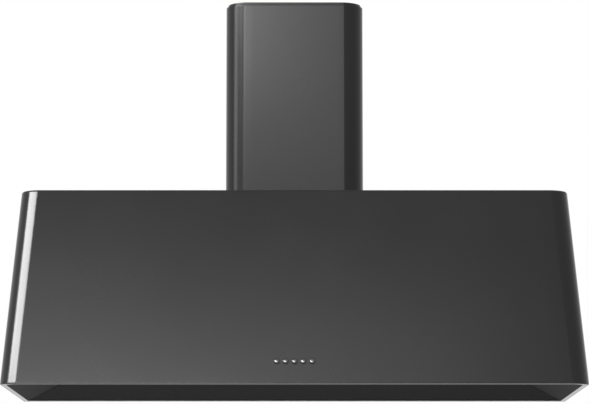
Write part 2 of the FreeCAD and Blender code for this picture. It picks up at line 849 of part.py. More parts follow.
def lamps():
    barrel = S.lamp_hole_radius - S.fit_gap
    bore = barrel - S.lamp_bezel_wall
    face = -S.pan_sheet - S.lamp_bezel_sheet
    lens_low = face + S.lamp_bezel_sheet / 2
    top = S.lamp_cup_height
    cup = [
        (S.lamp_cup_radius - S.lamp_wall, size(0)),
        (S.lamp_cup_radius, size(0)),
        (S.lamp_cup_radius, top),
        (size(0), top),
        (size(0), top - S.lamp_wall),
        (S.lamp_cup_radius - S.lamp_wall, top - S.lamp_wall),
    ]
    bezel = [
        (bore - S.lamp_ledge, face),
        (S.lamp_bezel_radius, face),
        (S.lamp_bezel_radius, -S.pan_sheet),
        (barrel, -S.pan_sheet),
        (barrel, S.lamp_bezel_wall),
        (bore, S.lamp_bezel_wall),
        (bore, lens_low),
        (bore - S.lamp_ledge, lens_low),
    ]
    lens = [
        (size(0), lens_low),
        (bore - S.fit_gap, lens_low),
        (bore - S.fit_gap, lens_low + S.lamp_lens_sheet),
        (size(0), lens_low + S.lamp_lens_sheet),
    ]
    spread = S.lamp_spread / 2
    for name, points in (("lamp_housings", cup), ("lamp_bezels", bezel), ("lamp_lenses", lens)):
        pair = [
            place(turned_piece(f"{name}_{i}", points), x, LAMP_Y, PANEL_TOP)
            for i, x in enumerate((-spread, spread))
        ]
        node(name, group(name, pair))
    half = S.lamp_board_side / 2
    high = PANEL_TOP + top - S.lamp_wall
    boards = []
    for i, x in enumerate((-spread, spread)):
        low = (x - half, LAMP_Y - half, high - S.lamp_board_sheet)
        boards.append(box(f"lamp_board_{i}", low, (x + half, LAMP_Y + half, high)))
    node("lamp_boards", group("lamp_boards", boards))


# ---- push buttons --------------------------------------------------------------------------


def push_button(name, x):
    """Round cap, and a square stem that works the switch behind it."""
    body = new_body(name)
    low = S.button_proud - S.button_length
    cap = sketch(body, name + "_cap", level=low)
    circle(cap, S.button_radius)
    pad(body, cap, S.button_length)
    stem = sketch(body, name + "_stem", level=low - S.stem_length)
    half = S.stem_side / 2
    rectangle(stem, -half, half, -half, half)
    pad(body, stem, S.stem_length)
    node(name, on_front(body, x))


def button_collars():
    """Bright rings in the front panel that the buttons slide in."""
    bore = S.button_radius + S.button_clearance
    points = [
        (bore, -S.collar_depth),
        (S.collar_radius, -S.collar_depth),
        (S.collar_radius, S.collar_proud),
        (bore, S.collar_proud),
    ]
    rings = [
        on_front(turned_piece(f"collar_{i}", points), x) for i, x in enumerate(button_places(), start=1)
    ]
    node("button_collars", group("button_collars", rings))


def switch_parts():
    """The switch block behind the buttons, and the bracket that carries it off the panel."""
    half = S.button_pitch * (S.button_count - 1) / 2 + S.switch_margin
    inside = -S.skin
    seat = -S.switch_stand_off
    sheet = S.bracket_sheet
    well = S.stem_side / 2 + S.fit_gap
    bracket = new_body("switch_bracket")
    hat = sketch(bracket, "bracket_hat", "XZ_Plane", -S.switch_width / 2)
    right = [
        (half + S.switch_foot + sheet, inside - sheet),
        (half + S.switch_foot + sheet, inside),
        (half, inside),
        (half, seat),
    ]
    under = [(half + sheet, seat - sheet), (half + sheet, inside - sheet)]
    left = [(-x, z) for x, z in reversed(right)]
    outline(hat, under + right + left + [(-x, z) for x, z in reversed(under)])
    pad(bracket, hat, S.switch_width)
    holes = sketch(bracket, "stem_holes", level=seat)
    for x in button_places():
        rectangle(holes, x - well, x + well, -well, well)
    hollow(bracket, holes)
    node("switch_bracket", on_front(bracket))
    housing = new_body("switch_housing")
    block = sketch(housing, "switch_block", level=seat - sheet - S.switch_depth)
    wide = S.switch_width / 2
    rectangle(block, -half, half, -wide, wide)
    pad(housing, block, S.switch_depth)
    wells = sketch(housing, "stem_wells", level=seat - sheet)
    for x in button_places():
        rectangle(wells, x - well, x + well, -well, well)
    stem_end = S.button_length - S.button_proud + S.stem_length
    pocket(housing, wells, stem_end + S.button_travel + S.fit_gap + seat - sheet)
    node("switch_housing", on_front(housing))


def push_buttons():
    for i, x in enumerate(button_places(), start=1):
        push_button(f"push_button_{i}", x)


# ---- flue covers ---------------------------------------------------------------------------


def flue_cover(name, inset, low, height):
    """Folded cover open at the back between two returns, which stop short of the top."""
    body = new_body(name)
    high = low + height
    outside = sketch(body, name + "_outside", level=low)
    flue_outline(outside, inset)
    pad(body, outside, height)
    inside = sketch(body, name + "_inside", level=high)
    flue_outline(inside, inset + S.skin)
    hollow(body, inside)
    gap = S.flue_width / 2 - S.flue_return - inset
    wall = S.flue_width / 2 - inset - S.skin
    notch = high - S.flue_notch
    back = sketch(body, name + "_back", "XZ_Plane", inset + S.skin)
    outline(
        back,
        [(-gap, low), (gap, low), (gap, notch), (wall, notch), (wall, high), (-wall, high), (-wall, notch), (-gap, notch)],
    )
    pocket(body, back, S.skin)
    return body


def chimney_lower():
    """Fixed cover, with tabs turned in at its foot."""
    body = flue_cover("chimney_lower", size(0), S.canopy_height, S.lower_flue_height)
    tabs = sketch(body, "foot_tabs", level=S.canopy_height)
    wide = S.flue_tab_width / 2
    outer = S.flue_width / 2 - S.skin / 2
    inner = S.flue_width / 2 - S.skin - S.flue_tab_reach
    for side in (-1, 1):
        low, high = sorted((outer * side, inner * side))
        rectangle(tabs, low, high, FLUE_Y - wide, FLUE_Y + wide)
    pad(body, tabs, S.skin)
    node("chimney_lower", body)


def bracket_middle():
    return UPPER_TOP - S.flue_bracket_below_top - S.flue_bracket_height / 2


def chimney_upper():
    """Sliding cover with vent slots in its sides."""
    low = S.canopy_height + S.upper_flue_foot
    body = flue_cover("chimney_upper", UPPER_INSET, low, UPPER_TOP - low)
    outside = S.flue_width / 2
    slot = sketch(body, "vent_slot", "YZ_Plane", outside)
    half = S.vent_slot_length / 2
    high = UPPER_TOP - S.vent_below_top
    rectangle(slot, FLUE_Y - half, FLUE_Y + half, high - S.vent_slot_width, high)
    vent = hollow(body, slot)
    column = pattern(body, "vent_slots", slot, "V_Axis", S.vent_slot_pitch * (S.vent_slots - 1), S.vent_slots)
    column.Originals = [vent]
    column.Reversed = True
    body.Tip = column
    node("chimney_upper", body)


def flue_wall_bracket():
    """Bracket on the wall that the upper cover is screwed to."""
    body = new_body("flue_wall_bracket")
    half = S.flue_width / 2 - UPPER_INSET - S.skin - S.fit_gap
    sheet, arm = S.bracket_sheet, -S.flue_bracket_arm
    plan = sketch(body, "bracket_plan", level=bracket_middle() - S.flue_bracket_height / 2)
    bend = sheet * 2
    outline(
        plan,
        [
            (-half, size(0), bend),
            (-half, arm),
            (sheet - half, arm),
            (sheet - half, -sheet),
            (half - sheet, -sheet),
            (half - sheet, arm),
            (half, arm),
            (half, size(0), bend),
        ],
    )
    pad(body, plan, S.flue_bracket_height)
    holes = sketch(body, "bracket_wall_holes", "XZ_Plane", sheet)
    for side in (-1, 1):
        circle(holes, S.flue_bracket_hole_radius, S.flue_bracket_hole_spread / 2 * side, bracket_middle())
    pocket(body, holes, sheet)
    node("flue_wall_bracket", body)


# ---- outlet spigot and its flaps -----------------------------------------------------------

FLAP_Z = S.canopy_height + S.flap_level
SEAT_TOP = FLAP_Z - S.flap_sheet / 2 - S.fit_gap
FLAP_REACH = SPIGOT_BORE - S.flap_gap
FLAP_HALF = root(FLAP_REACH * FLAP_REACH - S.flap_pin_offset * S.flap_pin_offset)
PIN_END = FLAP_HALF + S.fit_gap  # the pins run between the ears


def outlet_spigot():
    """Round collar on a square flange, with stops, a cross bar and ears for the two flaps."""
    body = new_body("outlet_spigot")
    side = S.spigot_flange_side / 2
    r = S.spigot_flange_radius
    flange = sketch(body, "spigot_flange", level=S.canopy_height)
    corners = [(-side, FLUE_Y - side, r), (side, FLUE_Y - side, r), (side, FLUE_Y + side, r), (-side, FLUE_Y + side, r)]
    outline(flange, corners)
    pad(body, flange, S.spigot_flange_sheet)
    collar = sketch(body, "spigot_collar", level=S.canopy_height)
    circle(collar, S.spigot_radius, 0, FLUE_Y)
    pad(body, collar, S.spigot_height)
    bore = sketch(body, "spigot_bore", level=S.canopy_height + S.spigot_height)
    circle(bore, SPIGOT_BORE, 0, FLUE_Y)
    hollow(body, bore)
    lugs = sketch(body, "flap_lugs", level=SEAT_TOP - S.seat_height)
    outer, inner = SPIGOT_BORE + S.spigot_wall / 2, SPIGOT_BORE - S.seat_lug
    for way in (-1, 1):
        low, high = sorted((FLUE_Y + outer * way, FLUE_Y + inner * way))
        rectangle(lugs, -S.seat_lug, S.seat_lug, low, high)
    pad(body, lugs, S.seat_height)
    bar = sketch(body, "cross_bar", level=SEAT_TOP - S.seat_height)
    half = S.flap_pin_offset - S.flap_knuckle_radius - S.fit_gap
    rectangle(bar, -SPIGOT_BORE, SPIGOT_BORE, FLUE_Y - half, FLUE_Y + half)
    pad(body, bar, S.seat_height + S.flap_sheet)
    ears = sketch(body, "pin_ears", level=SEAT_TOP - S.seat_height)
    wide = S.flap_pin_offset + S.flap_knuckle_radius
    for side in (-1, 1):
        low, high = sorted((outer * side, PIN_END * side))
        rectangle(ears, low, high, FLUE_Y - wide, FLUE_Y + wide)
    pad(body, ears, S.seat_height + S.flap_sheet + S.flap_knuckle_radius)
    node("outlet_spigot", body)


def damper_pins():
    pins = [
        rod(f"damper_pin_{i}", S.flap_pin_radius, PIN_END * 2, -PIN_END, FLUE_Y + S.flap_pin_offset * way, FLAP_Z, "x")
        for i, way in enumerate((-1, 1))
    ]
    node("damper_pins", group("damper_pins", pins))


def damper_flap(name, way):
    """Half a disc on a knuckle along its straight edge; way says which side of the pins it lies."""
    body = new_body(name)
    blade = sketch(body, name + "_blade", level=-S.flap_sheet / 2)
    zero = size(0)
    near, far = (FLAP_HALF * -way, zero), (FLAP_HALF * way, zero)
    chain(blade, near, [far, (*near, zero, S.flap_pin_offset * -way, 1)])
    pad(body, blade, S.flap_sheet)
    half = FLAP_HALF - S.flap_gap
    knuckle = sketch(body, name + "_knuckle", "YZ_Plane", -half)
    circle(knuckle, S.flap_knuckle_radius)
    pad(body, knuckle, half * 2)
    bore = sketch(body, name + "_bore", "YZ_Plane", S.spigot_radius)
    circle(bore, S.flap_pin_radius + S.flap_pin_clearance)
    hollow(body, bore)
    node(name, place(body, 0, FLUE_Y + S.flap_pin_offset * way, FLAP_Z))


# ---- blower --------------------------------------------------------------------------------


def at_fan(thing):
    return place(thing, 0, FAN_Y, S.fan_height)


def scroll_outline(drawing, wall):
    """Spiral of four arcs struck from the corners of a small square, opening into the mouth."""
    a = S.scroll_step / 2
    first = S.scroll_first_radius + wall
    second, third, fourth = (first - S.scroll_step * i for i in (1, 2, 3))
    tongue = S.tongue_offset - wall
    tongue_top = a + root(fourth * fourth - (tongue + a) * (tongue + a))
    top = SCROLL_MOUTH
    chain(
        drawing,
        (first + a, top),
        [
            (tongue, top),
            (tongue, tongue_top),
            (-a, fourth + a, -a, a, 1),
            (-third - a, -a, -a, -a, 1),
            (a, -second - a, a, -a, 1),
            (first + a, a, a, a, 1),
            (first + a, top),
        ],
    )


def scroll_half(name, side):
    """Half of the moulded blower housing, split at its middle."""
    body = new_body(name)
    half = S.scroll_half_width
    inner = half - S.scroll_wall
    low = -half if side < 0 else size(0)
    outside = sketch(body, name + "_outside", "YZ_Plane", low)
    scroll_outline(outside, S.scroll_wall)
    pad(body, outside, half)
    flange = sketch(body, name + "_flange", level=SCROLL_MOUTH - S.mouth_flange_sheet)
    reach = S.scroll_wall + S.mouth_flange
    x_low, x_high = (-half - S.mouth_flange, 0) if side < 0 else (0, half + S.mouth_flange)
    rectangle(flange, x_low, x_high, S.tongue_offset - reach, SCROLL_OUT + reach)
    pad(body, flange, S.mouth_flange_sheet)
    cavity = sketch(body, name + "_cavity", "YZ_Plane", size(0) if side < 0 else inner)
    scroll_outline(cavity, size(0))
    pocket(body, cavity, inner)
    inlet = sketch(body, name + "_inlet", "YZ_Plane", -inner if side < 0 else half)
    circle(inlet, S.inlet_radius)
    hollow(body, inlet)
    node(name, at_fan(body))


def arm_places():
    """The three fixing points of the motor bracket round the inlet, the first at the top."""
    return [(cosine(angle) * S.arm_circle, sine(angle) * S.arm_circle) for angle in (90, 210, 330)]


def impeller():
    """Double inlet wheel: forward-curved blades on a middle disc, tied by a ring at each end."""
    body = new_body("impeller")
    disc = sketch(body, "fan_disc", "YZ_Plane", -S.fan_disc_sheet / 2)
    circle(disc, S.fan_radius)
    pad(body, disc, S.fan_disc_sheet)
    blade = sketch(body, "blade", "YZ_Plane", -S.fan_half_width)
    blade_outline(blade)
    first = pad(body, blade, S.fan_half_width * 2)
    blades = body.newObject("PartDesign::PolarPattern", "blades")
    blades.Originals = [first]
    blades.Axis = (body.Origin.OriginFeatures[0], [""])
    blades.Angle = 360.0
    bind(blades, "Occurrences", S.blade_count)
    body.Tip = blades
    for name, low in (("left", -S.fan_half_width), ("right", S.fan_half_width - S.fan_ring_sheet)):
        ring = sketch(body, f"fan_ring_{name}", "YZ_Plane", low)
        ring_edges(S.fan_radius, S.fan_radius - S.fan_ring_width, ring)
        pad(body, ring, S.fan_ring_sheet)
    hub = sketch(body, "fan_hub", "YZ_Plane", -S.fan_hub_reach)
    circle(hub, S.fan_hub_radius)
    pad(body, hub, S.fan_hub_reach * 2)
    bore = sketch(body, "fan_bore", "YZ_Plane", S.fan_hub_reach)
    circle(bore, S.shaft_radius)
    hollow(body, bore)
    node("impeller", at_fan(body))


def blade_outline(drawing):
    """A curved blade: strip folded in flats along an arc, between the hub side and the rim."""
    cy, cz = S.blade_arc_centre, -S.blade_arc_drop
    turn = S.blade_end - S.blade_start
    angles = [S.blade_start + turn * i / S.blade_flats for i in range(int(S.blade_flats) + 1)]

    def side(radius):
        return [(cy + cosine(angle) * radius, cz + sine(angle) * radius) for angle in angles]

    outer = side(S.blade_arc_radius + S.blade_sheet / 2)
    inner = side(S.blade_arc_radius - S.blade_sheet / 2)
    outline(drawing, outer + inner[::-1])


def motor():
    """Motor inside the wheel, its shaft, and the bracket and bonded rubber bushes that carry it."""
    start = ARM_X - S.motor_length
    can = rod("motor_can", S.motor_radius, S.motor_length, start, 0, 0, "x")
    bore = rod("motor_bore", S.shaft_radius + S.shaft_clearance, S.motor_length, start, 0, 0, "x")
    node("motor_body", at_fan(cut("motor_body", can, [bore])))
    length = ARM_X - S.shaft_tail + S.fan_hub_reach
    node("motor_shaft", rod("motor_shaft", S.shaft_radius, length, -S.fan_hub_reach, FAN_Y, S.fan_height, "x"))
    bracket = new_body("motor_bracket")
    plate = sketch(bracket, "bracket_plate", "YZ_Plane", ARM_X)
    circle(plate, S.motor_radius)
    pad(bracket, plate, S.arm_sheet)
    arm = sketch(bracket, "bracket_arm", "YZ_Plane", ARM_X)
    wide = S.arm_width / 2
    end = S.arm_circle + wide
    start_z = S.motor_radius / 2
    bend = wide * 0.99
    outline(arm, [(-wide, start_z), (wide, start_z), (wide, end, bend), (-wide, end, bend)])
    first = pad(bracket, arm, S.arm_sheet)
    arms = bracket.newObject("PartDesign::PolarPattern", "bracket_arms")
    arms.Originals = [first]
    arms.Axis = (bracket.Origin.OriginFeatures[0], [""])
    arms.Angle = 360.0
    arms.Occurrences = 3
    bracket.Tip = arms
    node("motor_bracket", at_fan(bracket))
    bushes = []
    for i, (y, z) in enumerate(arm_places()):
        at = (S.scroll_half_width, FAN_Y + y, S.fan_height + z)
        bushes.append(rod(f"motor_bush_{i}", S.grommet_radius, S.grommet_height, *at, "x"))
    node("motor_grommets", group("motor_grommets", bushes))


def screw_head(name, x, y, z, axis):
    """A hexagon head that starts at its seat and stands out along +X or +Z."""
    head = DOC.addObject("Part::Prism", name)
    head.Polygon = 6
    bind(head, "Circumradius", S.screw_head_radius)
    bind(head, "Height", S.screw_head)
    turns = {"x": ((0, 1, 0), 90), "z": ((0, 0, 1), 0)}
    return turned(head, *turns[axis], x, y, z)


def screws():
    """Heads of the screws that hold the flue covers and the spigot, seated on their sheets."""
    foot = [
        screw_head(f"foot_screw_{i}", x, y, TOP_UNDER - S.screw_head, "z")
        for i, (x, y) in enumerate(foot_screw_places())
    ]
    node("chimney_screws", group("chimney_screws", foot))
    flange = [
        screw_head(f"spigot_screw_{i}", x, y, S.canopy_height + S.spigot_flange_sheet, "z")
        for i, (x, y) in enumerate(spigot_screw_places())
    ]
    node("spigot_screws", group("spigot_screws", flange))
    outside = S.flue_width / 2 - UPPER_INSET
    y = -S.flue_bracket_arm * S.flue_screw_share
    sides = [
        screw_head("side_screw_0", -outside - S.screw_head, y, bracket_middle(), "x"),
        screw_head("side_screw_1", outside, y, bracket_middle(), "x"),
    ]
    node("flue_bracket_screws", group("flue_bracket_screws", sides))


def blower_hangers():
    """Two straps from the top panel to the sides of the blower housing."""
    straps = []
    top = S.scroll_first_radius - S.scroll_step * 2 + S.scroll_step / 2
    low = S.fan_height + top - S.hanger_overlap
    for i, side in enumerate((-1, 1)):
        body = new_body(f"hanger_{i}")
        inner = S.scroll_half_width * side
        outer = (S.scroll_half_width + S.bracket_sheet) * side
        end = (S.scroll_half_width + S.hanger_foot) * side
        sheet = S.bracket_sheet
        strap = sketch(body, f"hanger_profile_{i}", "XZ_Plane", S.hanger_from_wall - S.hanger_width / 2)
        outline(
            strap,
            [
                (inner, low),
                (outer, low),
                (outer, TOP_UNDER - sheet, sheet),
                (end, TOP_UNDER - sheet),
                (end, TOP_UNDER),
                (inner, TOP_UNDER, sheet * 2),
            ],
        )
        pad(body, strap, S.hanger_width)
        straps.append(body)
    node("blower_hangers", group("blower_hangers", straps))


# ---- electrical parts ----------------------------------------------------------------------


def control_box():
    """Open-bottomed box under the top panel, its lid, and the motor's capacitor inside."""
    body = new_body("control_box")
    half_x, half_y, wall = S.box_length / 2, S.box_depth / 2, S.box_wall

    def plan(drawing, inset):
        x, y = half_x - inset, half_y - inset
        rectangle(drawing, -x, x, -y, y)

    outside = sketch(body, "box_outside", level=-S.box_height)
    plan(outside, 0)
    pad(body, outside, S.box_height)
    inside = sketch(body, "box_inside", level=-wall)
    plan(inside, wall)
    hollow(body, inside)
    stud = sketch(body, "stud_hole", "YZ_Plane", half_x)
    stud_y = S.capacitor_radius + wall + S.fit_gap - half_y
    stud_z = -wall - S.capacitor_radius - S.fit_gap
    circle(stud, S.capacitor_stud_radius + S.fit_gap, stud_y, stud_z)
    pocket(body, stud, wall)
    node("control_box", place(body, S.box_offset, -S.box_from_wall, TOP_UNDER))
    lid = new_body("control_box_lid")
    plate = sketch(lid, "lid_plate", level=-S.box_height - wall)
    plan(plate, 0)
    pad(lid, plate, wall)
    plug = sketch(lid, "lid_plug", level=-S.box_height)
    plan(plug, wall + S.fit_gap)
    pad(lid, plug, wall)
    node("control_box_lid", place(lid, S.box_offset, -S.box_from_wall, TOP_UNDER))
    end = half_x - wall
    at = (S.box_offset + end, stud_y - S.box_from_wall, TOP_UNDER + stud_z)
    can = rod("capacitor_can", S.capacitor_radius, S.capacitor_length, at[0] - S.capacitor_length, *at[1:], "x")
    bolt = rod("capacitor_stud", S.capacitor_stud_radius, S.capacitor_stud_length, *at, "x")
    node("capacitor", fuse("capacitor", [can, bolt]))


def cable_gland():
    """Bushed gland in the top panel for the mains lead, with hexagons above and below the sheet."""
    body = new_body("cable_gland")
    corner = S.gland_radius / cosine(30)
    stages = (
        ("gland_base", size(0), S.gland_base, 1),
        ("gland_cap", S.gland_base, S.gland_height - S.gland_base, S.gland_cap_share),
        ("gland_nut", -S.skin - S.gland_nut, S.gland_nut, 1),
    )
    neck = sketch(body, "gland_neck", level=-S.skin)
    circle(neck, S.gland_thread_radius)
    pad(body, neck, S.skin)
    for name, level, height, share in stages:
        plan = sketch(body, name, level=level)
        outline(plan, [(cosine(60 * i) * corner * share, sine(60 * i) * corner * share) for i in range(6)])
        pad(body, plan, height)
    bore = sketch(body, "gland_bore", level=S.gland_height)
    circle(bore, S.gland_bore_radius)
    hollow(body, bore)
    node("cable_gland", place(body, S.gland_offset, -S.gland_from_wall, S.canopy_height))


# ---- wall fixing ---------------------------------------------------------------------------


def wall_brackets():
    """Two hooks screwed to the wall; the back panel hangs on their shelves."""
    hooks = []
    sheet, reach, top = S.hook_sheet, S.hook_reach, HOOK_LEVEL
    for i, side in enumerate((-1, 1)):
        body = new_body(f"wall_hook_{i}")
        middle = S.hook_spread / 2 * side
        points = [
            (size(0), top - S.hook_height),
            (size(0), top),
            (-reach, top),
            (-reach, top + S.hook_lip),
            (-reach - sheet, top + S.hook_lip),
            (-reach - sheet, top - sheet),
            (-sheet, top - sheet),
            (-sheet, top - S.hook_height),
        ]
        along_x(body, f"hook_profile_{i}", points, middle - S.hook_width / 2, S.hook_width)
        holes = sketch(body, f"hook_holes_{i}", "XZ_Plane", sheet)
        for drop in (S.hook_hole_drop, S.hook_hole_drop + S.hook_hole_pitch):
            circle(holes, S.hook_hole_radius, middle, top - drop)
        pocket(body, holes, sheet)
        hooks.append(body)
    node("wall_brackets", group("wall_brackets", hooks))


def build():
    canopy_shell()
    canopy_top()
    back_panel()
    rear_stiffener()
    underside_pan()
    filters()
    lamps()
    push_buttons()
    button_collars()
    switch_parts()
    chimney_lower()
    chimney_upper()
    flue_wall_bracket()
    outlet_spigot()
    damper_pins()
    damper_flap("damper_flap_front", -1)
    damper_flap("damper_flap_rear", 1)
    scroll_half("blower_housing_left", -1)
    scroll_half("blower_housing_right", 1)
    impeller()
    motor()
    blower_hangers()
    screws()
    control_box()
    cable_gland()
    wall_brackets()


def export():
    """Checks every object of the document, then writes one file for each piece."""
    DOC.recompute()
    failed = [o.Name for o in DOC.Objects if "Invalid" in o.State or "Error" in o.State]
    loose = [o.Name for o in DOC.Objects if o.TypeId == "Sketcher::SketchObject" and not o.FullyConstrained]
    broken = [name for name, o in NODES.items() if o.Shape.isNull() or not o.Shape.isValid()]
    if failed or broken or loose:
        raise RuntimeError(f"failed {failed}, broken {broken}, loose sketches {loose}")
    os.makedirs("parts", exist_ok=True)
    for name, thing in NODES.items():
        thing.Shape.exportStep(f"parts/{name}.step")
    print(len(NODES), "pieces written")


build()
export()
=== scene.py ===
import math

import bmesh
import bpy
from mathutils import Matrix, Vector


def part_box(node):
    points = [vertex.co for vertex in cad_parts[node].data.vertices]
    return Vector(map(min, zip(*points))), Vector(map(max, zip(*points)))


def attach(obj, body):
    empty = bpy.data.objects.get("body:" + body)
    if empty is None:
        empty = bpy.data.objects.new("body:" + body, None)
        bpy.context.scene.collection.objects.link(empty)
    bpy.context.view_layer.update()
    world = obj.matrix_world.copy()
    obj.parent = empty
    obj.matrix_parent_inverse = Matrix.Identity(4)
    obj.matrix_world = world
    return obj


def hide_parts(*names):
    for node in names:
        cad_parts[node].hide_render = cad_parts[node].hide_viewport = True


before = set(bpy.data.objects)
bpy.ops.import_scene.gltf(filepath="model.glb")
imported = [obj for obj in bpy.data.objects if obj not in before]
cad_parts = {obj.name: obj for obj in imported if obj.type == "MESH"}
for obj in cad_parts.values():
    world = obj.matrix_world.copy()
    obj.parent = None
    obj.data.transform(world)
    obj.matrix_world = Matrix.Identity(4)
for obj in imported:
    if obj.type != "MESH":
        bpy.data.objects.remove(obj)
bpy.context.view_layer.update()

mm = 0.001
print("frame loaded:", len(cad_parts), "nodes")


# materials: a socket that adds and multiplies like a number
class Wire:
    def __init__(self, finish, socket):
        self.finish = finish
        self.socket = socket

    def maths(self, operation, first, second):
        return self.finish.add("Math", {"operation": operation}, {0: first, 1: second})

    def __add__(self, other):
        return self.maths("ADD", self, other)

    def __radd__(self, other):
        return self.maths("ADD", other, self)

    def __sub__(self, other):
        return self.maths("SUBTRACT", self, other)

    def __rsub__(self, other):
        return self.maths("SUBTRACT", other, self)

    def __mul__(self, other):
        return self.maths("MULTIPLY", self, other)

    def __rmul__(self, other):
        return self.maths("MULTIPLY", other, self)


class Finish:
    def __init__(self, name):
        self.material = bpy.data.materials.new(name)
        self.material.use_nodes = True
        self.tree = self.material.node_tree
        self.tree.nodes.clear()
        self.place = self.add("TexCoord", out="Object")

    def add(self, kind, settings=None, inputs=None, out=0):
        node = self.tree.nodes.new("ShaderNode" + kind)
        for name, value in (settings or {}).items():
            if name == "stops":
                while len(node.color_ramp.elements) < len(value):
                    node.color_ramp.elements.new(0.5)
                for element, (position, tone) in zip(node.color_ramp.elements, value):
                    element.position = position
                    element.color = tone
            else:
                setattr(node, name, value)
        for key, value in (inputs or {}).items():
            if isinstance(value, Wire):
                self.tree.links.new(value.socket, node.inputs[key])
            else:
                node.inputs[key].default_value = value
        return Wire(self, node.outputs[out]) if len(node.outputs) else None

    def stretched(self, x, y, z):
        return self.add("Mapping", {}, {"Vector": self.place, "Scale": (x, y, z)})

    def noise(self, scale, detail=2.0, where=None):
        inputs = {"Vector": where or self.place, "Scale": scale, "Detail": detail}
        return self.add("TexNoise", {}, inputs)

    def ramp(self, value, *stops):
        greys = [(position, (tone, tone, tone, 1)) for position, tone in stops]
        return self.add("ValToRGB", {"stops": greys}, {"Fac": value})

    def mixed(self, share, first, second):
        return self.add("Mix", {"data_type": "RGBA"}, {0: share, 6: first, 7: second}, out=2)

    def bump(self, height, depth):
        return self.add("Bump", {}, {"Height": height, "Distance": depth})

    def made(self, **sockets):
        inputs = {}
        for key, value in sockets.items():
            words = "".join(" " + letter if letter.isupper() else letter for letter in key)
            inputs[words.title().replace("Ior", "IOR")] = value
        shader = self.add("BsdfPrincipled", {}, inputs)
        self.add("OutputMaterial", {}, {"Surface": shader})
        return self.material


def grey(value, warm=0.0):
    return (value * (1 + warm), value, value * (1 - warm), 1)


paintLook = {
    "dark": (0.0050, 0.0050, 0.0052, 1),
    "pale": (0.0076, 0.0074, 0.0075, 1),
    "roughness": 0.18,
    "shine": 0.24,
    "cloudScale": 7.0,
    "peelScale": 620,
    "peelDepth": 0.000012,
    "waveScale": 1.3,
    "waveDepth": 0.0003,
    # the fold and rim keys set where the painted shade along the top fold and the rim fold lies, how dark
    # it is and how dull
    "foldLevel": 0.3690,
    "foldDepth": 0.0006,
    "foldRoughness": 0.45,
    "foldShadeTone": 0.003,
    "rimShadeStops": ((0.0004, 0.0), (0.0008, 1.0), (0.0022, 1.0), (0.003, 0.0)),
}


def satinPaint(name="satinPaint", roughness=None, shine=None, fold=False):
    look = paintLook
    f = Finish(name)
    peel = f.noise(look["peelScale"], 1.5)
    cloud = f.noise(look["cloudScale"], 3.0)
    wave = f.noise(look["waveScale"], 0.0)
    rough = (roughness or look["roughness"]) + (cloud - 0.5) * 0.04 + (peel - 0.5) * 0.05
    colour = f.mixed(cloud, look["dark"], look["pale"])
    if fold:  # painted shade: along the tight folds at the top and the rim the paint is mixed to a near-black tone and made duller, standing in for the dark that these folds reflect
        height = f.add("SeparateXYZ", {}, {"Vector": f.place}, out=2)
        low, high = look["foldLevel"], look["foldLevel"] + look["foldDepth"]
        foldShadeBand = f.add("MapRange", {}, {"Value": height, "From Min": low, "From Max": high})
        foldShadeBand = foldShadeBand + f.ramp(height, *look["rimShadeStops"])
        rough = rough + foldShadeBand * look["foldRoughness"]
        colour = f.mixed(foldShadeBand, colour, grey(look["foldShadeTone"]))
    sheet = f.bump(wave, look["waveDepth"])
    skin = f.add("Bump", {}, {"Height": peel, "Distance": look["peelDepth"], "Normal": sheet})
    return f.made(
        baseColor=colour,
        roughness=rough,
        specularIorLevel=shine or look["shine"],
        normal=skin,
    )


def galvanisedSheet():
    f = Finish("galvanisedSheet")
    spangle = f.add("TexVoronoi", {}, {"Vector": f.place, "Scale": 130.0}, out="Color")
    flake = f.add("SeparateColor", {}, {"Color": spangle}, out=0)
    rolled = f.noise(60.0, 4.0, f.stretched(0.15, 1, 1))
    stain = f.ramp(f.noise(14.0, 5.0), (0.35, 0.0), (0.75, 1.0))
    tone = f.mixed(flake, (0.47, 0.49, 0.50, 1), (0.62, 0.64, 0.65, 1))
    return f.made(
        baseColor=f.mixed(stain * 0.35, tone, (0.36, 0.37, 0.38, 1)),
        roughness=0.34 + flake * 0.16 + rolled * 0.1,
        metallic=1.0,
        normal=f.bump(rolled, 0.00003),
    )


def brushedAluminium(name="brushedAluminium", across=(1, 14, 14), tone=0.72):
    f = Finish(name)
    grain = f.noise(170.0, 5.0, f.stretched(*across))
    film = f.ramp(f.noise(18.0, 3.0), (0.3, 0.0), (0.8, 1.0))
    return f.made(
        baseColor=f.mixed(film * 0.5, grey(tone, -0.01), grey(tone * 0.82, 0.02)),
        roughness=0.24 + grain * 0.16 + film * 0.08,
        metallic=1.0,
        normal=f.bump(grain, 0.00002),
    )


def polishedChrome(name="polishedChrome", dark=0.63, pale=0.72):
    f = Finish(name)
    haze = f.noise(90.0, 4.0)
    scratch = f.noise(420.0, 2.0, f.stretched(1, 8, 1))
    return f.made(
        baseColor=f.mixed(haze, grey(dark, -0.01), grey(pale, -0.005)),
        roughness=0.07 + haze * 0.05 + scratch * 0.03,
        metallic=1.0,
        normal=f.bump(scratch, 0.000004),
    )


def mouldedPlastic(name, dark, pale, roughness):
    f = Finish(name)
    grain = f.noise(900.0, 2.0)
    flow = f.noise(22.0, 3.0, f.stretched(1, 1, 0.4))
    dust = f.ramp(f.noise(35.0, 5.0), (0.5, 0.0), (0.85, 1.0))
    body = f.mixed(flow, grey(dark), grey(pale))
    return f.made(
        baseColor=f.mixed(dust * 0.12, body, grey(0.2, 0.03)),
        roughness=roughness + grain * 0.12 + dust * 0.08,
        normal=f.bump(grain, 0.00003),
    )


def frostedGlass():
    f = Finish("frostedGlass")
    frost = f.noise(1600.0, 2.0)
    depth = f.noise(40.0, 2.0)
    return f.made(
        baseColor=f.mixed(depth, (0.80, 0.83, 0.84, 1), (0.88, 0.90, 0.90, 1)),
        roughness=0.34 + frost * 0.14,
        transmissionWeight=0.35,
        normal=f.bump(frost, 0.00002),
    )


